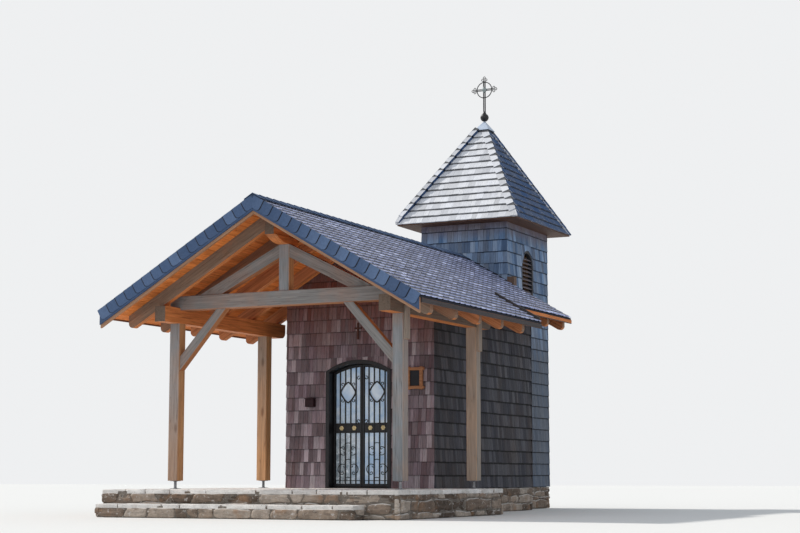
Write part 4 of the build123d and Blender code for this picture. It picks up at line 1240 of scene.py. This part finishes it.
# half a circle as the ball's profile; its ends stay off the axis so that no face is empty
angle = np.linspace(-np.pi / 2, np.pi / 2, 17)
profile = np.stack((np.cos(angle) * finial["ball"] + 0.0005, np.sin(angle) * finial["ball"]), -1)
parts = [lathe(profile, axis + (0, 0, ballZ)),
         lathe(finial["collar"], axis + (0, 0, ballZ + finial["collarRise"]), 16)]
for side in (-1, 1):
    x = side * finial["apart"] / 2
    foot, top = ballZ + finial["barFoot"], finialHigh[2] - finial["barTop"]
    parts.append(tube([axis + (x, 0, foot), axis + (x, 0, top)], finial["bar"], 8))
turn = np.linspace(0, 2 * np.pi, 48, endpoint=False)
circle = np.stack((np.cos(turn), turn * 0, np.sin(turn)), -1)
parts.append(tube(crossMiddle + circle * finial["ring"], finial["bar"] * finial["ringShare"], 8, closed=True))
for heading in (0, 90, 180):
    direction = np.array((np.cos(np.radians(heading)), 0, np.sin(np.radians(heading))))
    sideways = np.array((-direction[2], 0, direction[0]))
    for side in (-1, 1):
        start = crossMiddle + sideways * side * finial["apart"] * finial["armApart"]
        end = start + direction * (finial["arm"] - finial["armShort"])
        parts.append(tube([start, end], finial["bar"] * finial["armShare"], 8))
    # each tip is a small open trefoil: a ring at the end and one at either side
    end = crossMiddle + direction * (finial["arm"] - finial["tipShort"])
    for ahead, beside in finial["tipSpots"]:
        spot = end + direction * ahead + sideways * beside
        parts.append(tube(spot + circle[::3] * finial["tip"], finial["tipBar"], 6, closed=True))
addPiece("finial_iron", parts, blackIron, stands=("finial",), crease=40)
heart = np.array(finial["heart"])
rings = []
for share, y in finial["heartSteps"]:
    rings.append(crossMiddle + np.stack((heart[:, 0] * share, np.full(8, y), heart[:, 1] * share), -1))
addPiece("finial_heart", [loft(np.array(rings))], paleTin, crease=30)
print("finial set")


shoe = {"plate": 0.06, "thick": 0.008, "inset": 0.085, "bevel": 0.002}
shoeLow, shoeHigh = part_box("post_shoes")
h, half = shoeHigh[2] - shoeLow[2], shoe["plate"]
# the stem's radius at each height: a plain rod with a collar near both its ends
stem = ((0.02, 0), (0.031, 0.008), (0.031, 0.012), (0.021, 0.016), (0.02, h - 0.016),
        (0.03, h - 0.012), (0.03, h - 0.007), (0.018, h))
parts = []
for node in ("front_posts", "rear_posts"):
    low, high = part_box(node)
    y = (low[1] + high[1]) / 2
    for x in (low[0] + shoe["inset"], high[0] - shoe["inset"]):
        parts.append(lathe(stem, (x, y, shoeLow[2]), 20))
        for z0, z1 in ((0.0, shoe["thick"]), (h - shoe["thick"], h)):
            parts.append(bar((x - half, y - half, shoeLow[2] + z0), (x + half, y + half, shoeLow[2] + z1),
                             shoe["bevel"]))
addPiece("shoe_steel", parts, greySteel, stands=("post_shoes",), crease=35)

# the frame's width, how far its rails and stiles lie in from the case's ends, how far
# they are set back from each other, and how far in the panel lies
case = {"edge": 0.045, "rail": 0.012, "stile": 0.026, "back": 0.006, "panel": 0.03, "bevel": 0.005}
low, high = (np.array(c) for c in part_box("notice_case"))
edge, back, bevel = case["edge"], case["back"], case["bevel"]
parts = []
for z0 in (low[2] + case["rail"], high[2] - edge - case["rail"]):
    parts.append(bar((low[0], low[1], z0), (high[0], high[1] - back, z0 + edge), bevel, along=0))
for x0 in (low[0] + case["stile"], high[0] - edge - case["stile"]):
    parts.append(bar((x0, low[1] + back, low[2]), (x0 + edge, high[1], high[2]), bevel, along=2))
addPiece("case_frame", parts, caseWood, stands=("notice_case",))
panel = bar(low + case["panel"], high - (case["panel"], 0, case["panel"]), 0.003)
addPiece("case_panel", [panel], darkPanel)

# the lid's height, how far its box starts under it and lies in, and the slot in it: how
# far in from the ends and the front, its width and its depth
chest = {"lid": 0.022, "lap": 0.02, "inset": 0.006, "slotEnd": 0.05, "slotFront": 0.03,
         "slotWide": 0.006, "slotDeep": 0.004}
low, high = (np.array(c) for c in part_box("offering_box"))
lid = bar((low[0], low[1], high[2] - chest["lid"]), high, 0.004)
inset, lap = chest["inset"], chest["lap"]
trunk = bar(low + (inset, inset, 0), (high[0] - inset, high[1], high[2] - lap), 0.005)
slit = bar((low[0] + chest["slotEnd"], low[1] + chest["slotFront"], high[2] - chest["slotDeep"]),
           (high[0] - chest["slotEnd"], low[1] + chest["slotFront"] + chest["slotWide"], high[2]), 0.0005)
addPiece("box_sheet", [lid, trunk, slit], darkRed, stands=("offering_box",))
print("small pieces fixed")


gate = {
    # x of the meeting edge and the hanging edge, the foot, and the frame's widths
    "edge": 0.005, "outer": 0.507, "foot": 0.424, "stile": 0.03, "rail": 0.045, "front": -1.3575,
    "rear": -1.3275,
    # the doorway's inner arc, the leaf's gap to it, and how many points its head has
    "crown": 2.35, "arcHalf": 0.515, "arcRise": 0.125, "gap": 0.008, "headPoints": 14,
    # upright bars, how far they run into the frame, and the lozenge that cuts them
    "bars": 4, "barSide": 0.018, "barFoot": 0.02, "barTop": 0.03, "lozengeZ": 1.905,
    "lozengeHalf": (0.132, 0.162), "lozengeBow": 1.32, "lozengeBar": (0.0135, 0.0125), "lozengeGap": 0.03,
    # the band between two rails
    "bandFoot": 1.265, "bandTop": 1.42, "bandEnd": 0.012, "bandRail": 0.022,
    # the lyre's bows as (height, radius, up or down), how far apart they stand and how far
    # they reach as shares of the radius, and the degrees that they and their curls sweep
    "lyres": ((0.98, 0.082, 1), (0.70, 0.1, -1)), "lyreApart": 0.98, "lyreReach": 0.86, "lyreSweep": 200,
    "wire": 0.006, "curl": 0.026, "curlSweep": 290, "curlWire": 0.0052,
    "ties": (0.84, 1.1, 0.56), "tieHalf": 0.05, "tieRise": 0.012, "lowBar": (0.515, 0.525),
    # scroll brackets as (height, start, sweep), how far in they stand, and their radius
    "brackets": ((1.455, 250, 300), (2.13, 110, -300)), "bracketIn": 0.062, "bracket": 0.032,
    "bracketWire": 0.0055,
    # the small scrolls beside the lozenge: their place as a share of its half size and a
    # distance past that, their radius and their sweep
    "scrollShare": 0.66, "scrollPast": (0.012, 0.02), "scroll": 0.03, "scrollSweep": 300,
    "scrollWire": 0.0058,
    # hinge knuckles: their feet and profile, the pin's x and y, and the plate that joins
    # each to the stile
    "knuckles": (0.6405, 1.9005), "knuckle": ((0.0078, 0), (0.0085, 0.002), (0.0085, 0.058), (0.0078, 0.06)),
    "pin": (0.511, -1.2915), "plate": ((0.472, -1.3275), (0.508, -1.2905)), "plateTall": 0.06,
    # a rosette: (radius, y, depth of the scallops) of its rings, and how far from the
    # leaf's middle it stands, in distances between bars
    "rosette": ((0.034, -1.346, 0.08), (0.036, -1.352, 0.1), (0.03, -1.3555, 0.1), (0.018, -1.3535, 0.0),
                (0.017, -1.3585, 0.0), (0.011, -1.3622, 0.0), (0.003, -1.3634, 0.0)),
    "rosetteAway": 1.2, "paneInset": 0.008, "pane": (-1.3355, -1.3295),
}
leafMiddle = (gate["edge"] + gate["outer"]) / 2
leafDepth = (gate["front"] + gate["rear"]) / 2
barPitch = (gate["outer"] - gate["edge"] - gate["stile"]) / (gate["bars"] + 1)


def headLine(x, inset):
    # the leaf's curved head: the doorway's inner arc less an inset
    radius = (gate["arcHalf"] ** 2 + gate["arcRise"] ** 2) / (2 * gate["arcRise"])
    return gate["crown"] - radius + np.sqrt((radius - inset) ** 2 - x ** 2)


def leafOutline(inset, foot):
    # the leaf's outline in (x, z), drawn in by an inset at its sides and head
    x0, x1 = gate["edge"] + inset, gate["outer"] - inset
    x = np.linspace(x1, x0, gate["headPoints"])
    head = np.stack((x, headLine(x, gate["gap"] + inset)), -1)
    return np.concatenate(([[x0, foot]], [[x1, foot]], head))


def atDepth(flat, y):
    # (x, z) points at one y
    return np.stack((flat[:, 0], np.full(len(flat), y), flat[:, 1]), -1)


def curl(x, z, start, sweep, radius, shrink, count=18):
    # a spiral in the leaf's plane: the radius falls evenly while the angle sweeps
    share = np.linspace(0, 1, count)
    angle = np.radians(start + sweep * share)
    reach = radius * (1 - shrink * share)
    return atDepth(np.stack((x + np.cos(angle) * reach, z + np.sin(angle) * reach), -1), leafDepth)


def upright(x, z0, z1):
    # one square bar of the leaf
    half = gate["barSide"] / 2
    return bar((x - half, leafDepth - half, z0), (x + half, leafDepth + half, z1), 0.0015)


def flatBar(z0, z1, ahead, behind, bevel):
    # a flat bar across the leaf, between two depths
    x0, x1 = gate["edge"] + gate["bandEnd"], gate["outer"] - gate["bandEnd"]
    return bar((x0, leafDepth - ahead, z0), (x1, leafDepth + behind, z1), bevel, along=0)


def leafIron():
    outer = leafOutline(0.0, gate["foot"])
    inner = leafOutline(gate["stile"], gate["foot"] + gate["rail"])
    front, rear = gate["front"], gate["rear"]
    edges = [atDepth(outer, front), atDepth(inner, front), atDepth(inner, rear), atDepth(outer, rear)]
    parts = [loft(np.stack(edges, 1)[None], closed=True)]
    wide, tall = gate["lozengeHalf"]
    barFoot = gate["foot"] + gate["barFoot"]
    for index in range(1, gate["bars"] + 1):
        x = gate["edge"] + gate["stile"] / 2 + index * barPitch
        top = headLine(x, gate["barTop"])
        away = abs(x - leafMiddle)
        if away < wide:
            # the bar stops at the lozenge and goes on above it
            gap = tall * (1 - away / wide) + gate["lozengeGap"]
            parts.append(upright(x, barFoot, gate["lozengeZ"] - gap))
            parts.append(upright(x, gate["lozengeZ"] + gap, top))
        else:
            parts.append(upright(x, barFoot, top))
    # lozenge with bowed sides: |x / wide| ** n + |z / tall| ** n = 1
    n = gate["lozengeBow"]
    turn = np.linspace(0, 2 * np.pi, 40, endpoint=False)
    c, s = np.cos(turn), np.sin(turn)
    bow = 1 / (np.abs(c) ** n + np.abs(s) ** n) ** (1 / n)
    flat = np.stack((leafMiddle + c * bow * wide, gate["lozengeZ"] + s * bow * tall), -1)
    thick, deep = gate["lozengeBar"]
    parts.append(tube(atDepth(flat, leafDepth), thick, 4, closed=True, deep=deep))
    # four small scrolls beside the lozenge's sides
    share, (pastX, pastZ) = gate["scrollShare"], gate["scrollPast"]
    for sx in (-1, 1):
        for sz in (-1, 1):
            x = leafMiddle + sx * (wide * share + pastX)
            z = gate["lozengeZ"] + sz * (tall * share + pastZ)
            start, sweep = sz * (200 if sx > 0 else -20), -gate["scrollSweep"] * sx * sz
            parts.append(tube(curl(x, z, start, sweep, gate["scroll"], 0.62), gate["scrollWire"], 6))
    # band: back plate and two rails
    parts.append(flatBar(gate["bandFoot"], gate["bandTop"], 0.003, 0.007, 0.001))
    for z in (gate["bandFoot"], gate["bandTop"] - gate["bandRail"]):
        parts.append(flatBar(z, z + gate["bandRail"], 0.011, 0.008, 0.003))
    # lyre of scrolls in the lower panel: two bows a side, with a curl at both their ends
    for z, radius, flip in gate["lyres"]:
        for sx in (-1, 1):
            x = leafMiddle + sx * radius * gate["lyreApart"]
            sweep = -sx * flip * gate["lyreSweep"]
            bow = curl(x, z, 90 * flip, sweep, radius * gate["lyreReach"], 0.12, 20)
            parts.append(tube(bow, gate["wire"], 6))
            small = gate["curl"]
            for end, way in ((bow[0], flip), (bow[-1], -flip)):
                sweep = sx * gate["curlSweep"] * way
                spiral = curl(end[0], end[2] - small * way, 90 * way, sweep, small, 0.6, 14)
                parts.append(tube(spiral, gate["curlWire"], 6))
    # ties between the bows, and a cross bar near the foot
    for z in gate["ties"]:
        x = leafMiddle + np.array((-1, 0, 1)) * gate["tieHalf"]
        flat = np.stack((x, z + np.array((0, 1, 0)) * gate["tieRise"]), -1)
        parts.append(tube(atDepth(flat, leafDepth), gate["wire"], 6))
    parts.append(flatBar(*gate["lowBar"], 0.006, 0.006, 0.001))
    # scroll brackets along the meeting edge, one over the band and one under the head
    for z, start, sweep in gate["brackets"]:
        spiral = curl(gate["edge"] + gate["bracketIn"], z, start, sweep, gate["bracket"], 0.6, 16)
        parts.append(tube(spiral, gate["bracketWire"], 6))
    # hinge knuckles on the hanging side
    low, high = gate["plate"]
    for z in gate["knuckles"]:
        parts.append(lathe(gate["knuckle"], (*gate["pin"], z), 16))
        parts.append(bar((*low, z), (*high, z + gate["plateTall"]), 0.001))
    return parts


def leafBosses():
    # a rosette: the rim is scalloped, radius * (1 + depth * cos(6 * angle)), and the stud
    # in the middle is domed
    angle = np.arange(24) * np.pi / 12
    parts = []
    for side in (-1, 1):
        x = leafMiddle + side * gate["rosetteAway"] * barPitch
        z = (gate["bandFoot"] + gate["bandTop"]) / 2
        rings = []
        for radius, y, scallop in gate["rosette"]:
            r = radius * (1 + scallop * np.cos(angle * 6))
            rings.append(np.stack((x + r * np.cos(angle), np.full(24, y), z + r * np.sin(angle)), -1))
        parts.append(loft(np.array(rings)))
    return parts


def leafPane():
    # the glass behind the bars
    flat = leafOutline(gate["stile"] + gate["paneInset"], gate["foot"] + gate["rail"])
    return [loft(np.array([atDepth(flat, y) for y in gate["pane"]]))]


for side in ("right", "left"):
    made = {"iron": leafIron(), "boss": leafBosses(), "pane": leafPane()}
    if side == "left":
        made = {key: [mirrorX(part) for part in parts] for key, parts in made.items()}
    body = "gate_leaf_" + side
    addPiece("gate_iron_" + side, made["iron"], blackIron, body, ("gate_grille_" + side,), 35)
    addPiece("gate_rosettes_" + side, made["boss"], brassSheet, body, ("gate_bosses_" + side,), 40)
    addPiece("gate_panes_" + side, made["pane"], pane, body, ("gate_glass_" + side,))
print("gate leaves hung")


studio = {
    "floor": 90, "paint": (226, 226, 224),
    # colour and strength of the light from all round, and of what the camera sees
    "soft": ((0.86, 0.92, 1.0, 1.0), 0.62), "seen": ((0.86, 0.87, 0.88, 1.0), 1.0),
    # direction of travel, strength, spread in degrees and colour
    "key": ((0.745, 0.03, -0.667), 2.9, 3, (1.0, 0.96, 0.9)),
    "fill": ((-0.15, 0.95, -0.2), 0.5, 50, (1.0, 0.98, 0.96)),
    "cameraAt": (12.165, -24.765, 0.569), "lens": 75, "farthest": 400,
}
half = studio["floor"]
floorMesh = bpy.data.meshes.new("floor")
floorMesh.from_pydata([(-half, -half, 0), (half, -half, 0), (half, half, 0), (-half, half, 0)], [],
                      [(0, 1, 2, 3)])
floor = linked("floor", floorMesh)
floorPaint, tree, shader = startMaterial("floor_paint", 0.95, specular=0.1)
shader.inputs["Base Color"].default_value = screenColour(*studio["paint"])
floorMesh.materials.append(floorPaint)

world = bpy.data.worlds.new("studio")
bpy.context.scene.world = world
world.use_nodes = True
tree = world.node_tree
tree.nodes.clear()
soft, seen = (addNode(tree, "ShaderNodeBackground", zip(("Color", "Strength"), studio[key]))
              for key in ("soft", "seen"))
path = addNode(tree, "ShaderNodeLightPath")
either = sums(tree, "MAXIMUM", path.outputs["Is Camera Ray"], path.outputs["Is Glossy Ray"])
either = sums(tree, "MAXIMUM", either, path.outputs["Is Transmission Ray"])
mixed = addNode(tree, "ShaderNodeMixShader", ((0, either), (1, soft.outputs[0]), (2, seen.outputs[0])))
addNode(tree, "ShaderNodeOutputWorld", (("Surface", mixed.outputs[0]),))

for name in ("key", "fill"):
    travel, strength, spread, colour = studio[name]
    lamp = bpy.data.lights.new(name, "SUN")
    lamp.energy = strength
    lamp.angle = np.radians(spread)
    lamp.color = colour
    linked(name, lamp).rotation_euler = Vector(travel).to_track_quat("-Z", "Y").to_euler()

camera = linked("camera", bpy.data.cameras.new("camera"))
bpy.context.scene.camera = camera
camera.location = studio["cameraAt"]
middle = sum((Vector(corner) for corner in cadBounds), Vector()) / 2
camera.rotation_euler = (middle - camera.location).to_track_quat("-Z", "Y").to_euler()
camera.data.lens = studio["lens"]
camera.data.clip_end = studio["farthest"]

bpy.context.scene.view_settings.view_transform = "Standard"
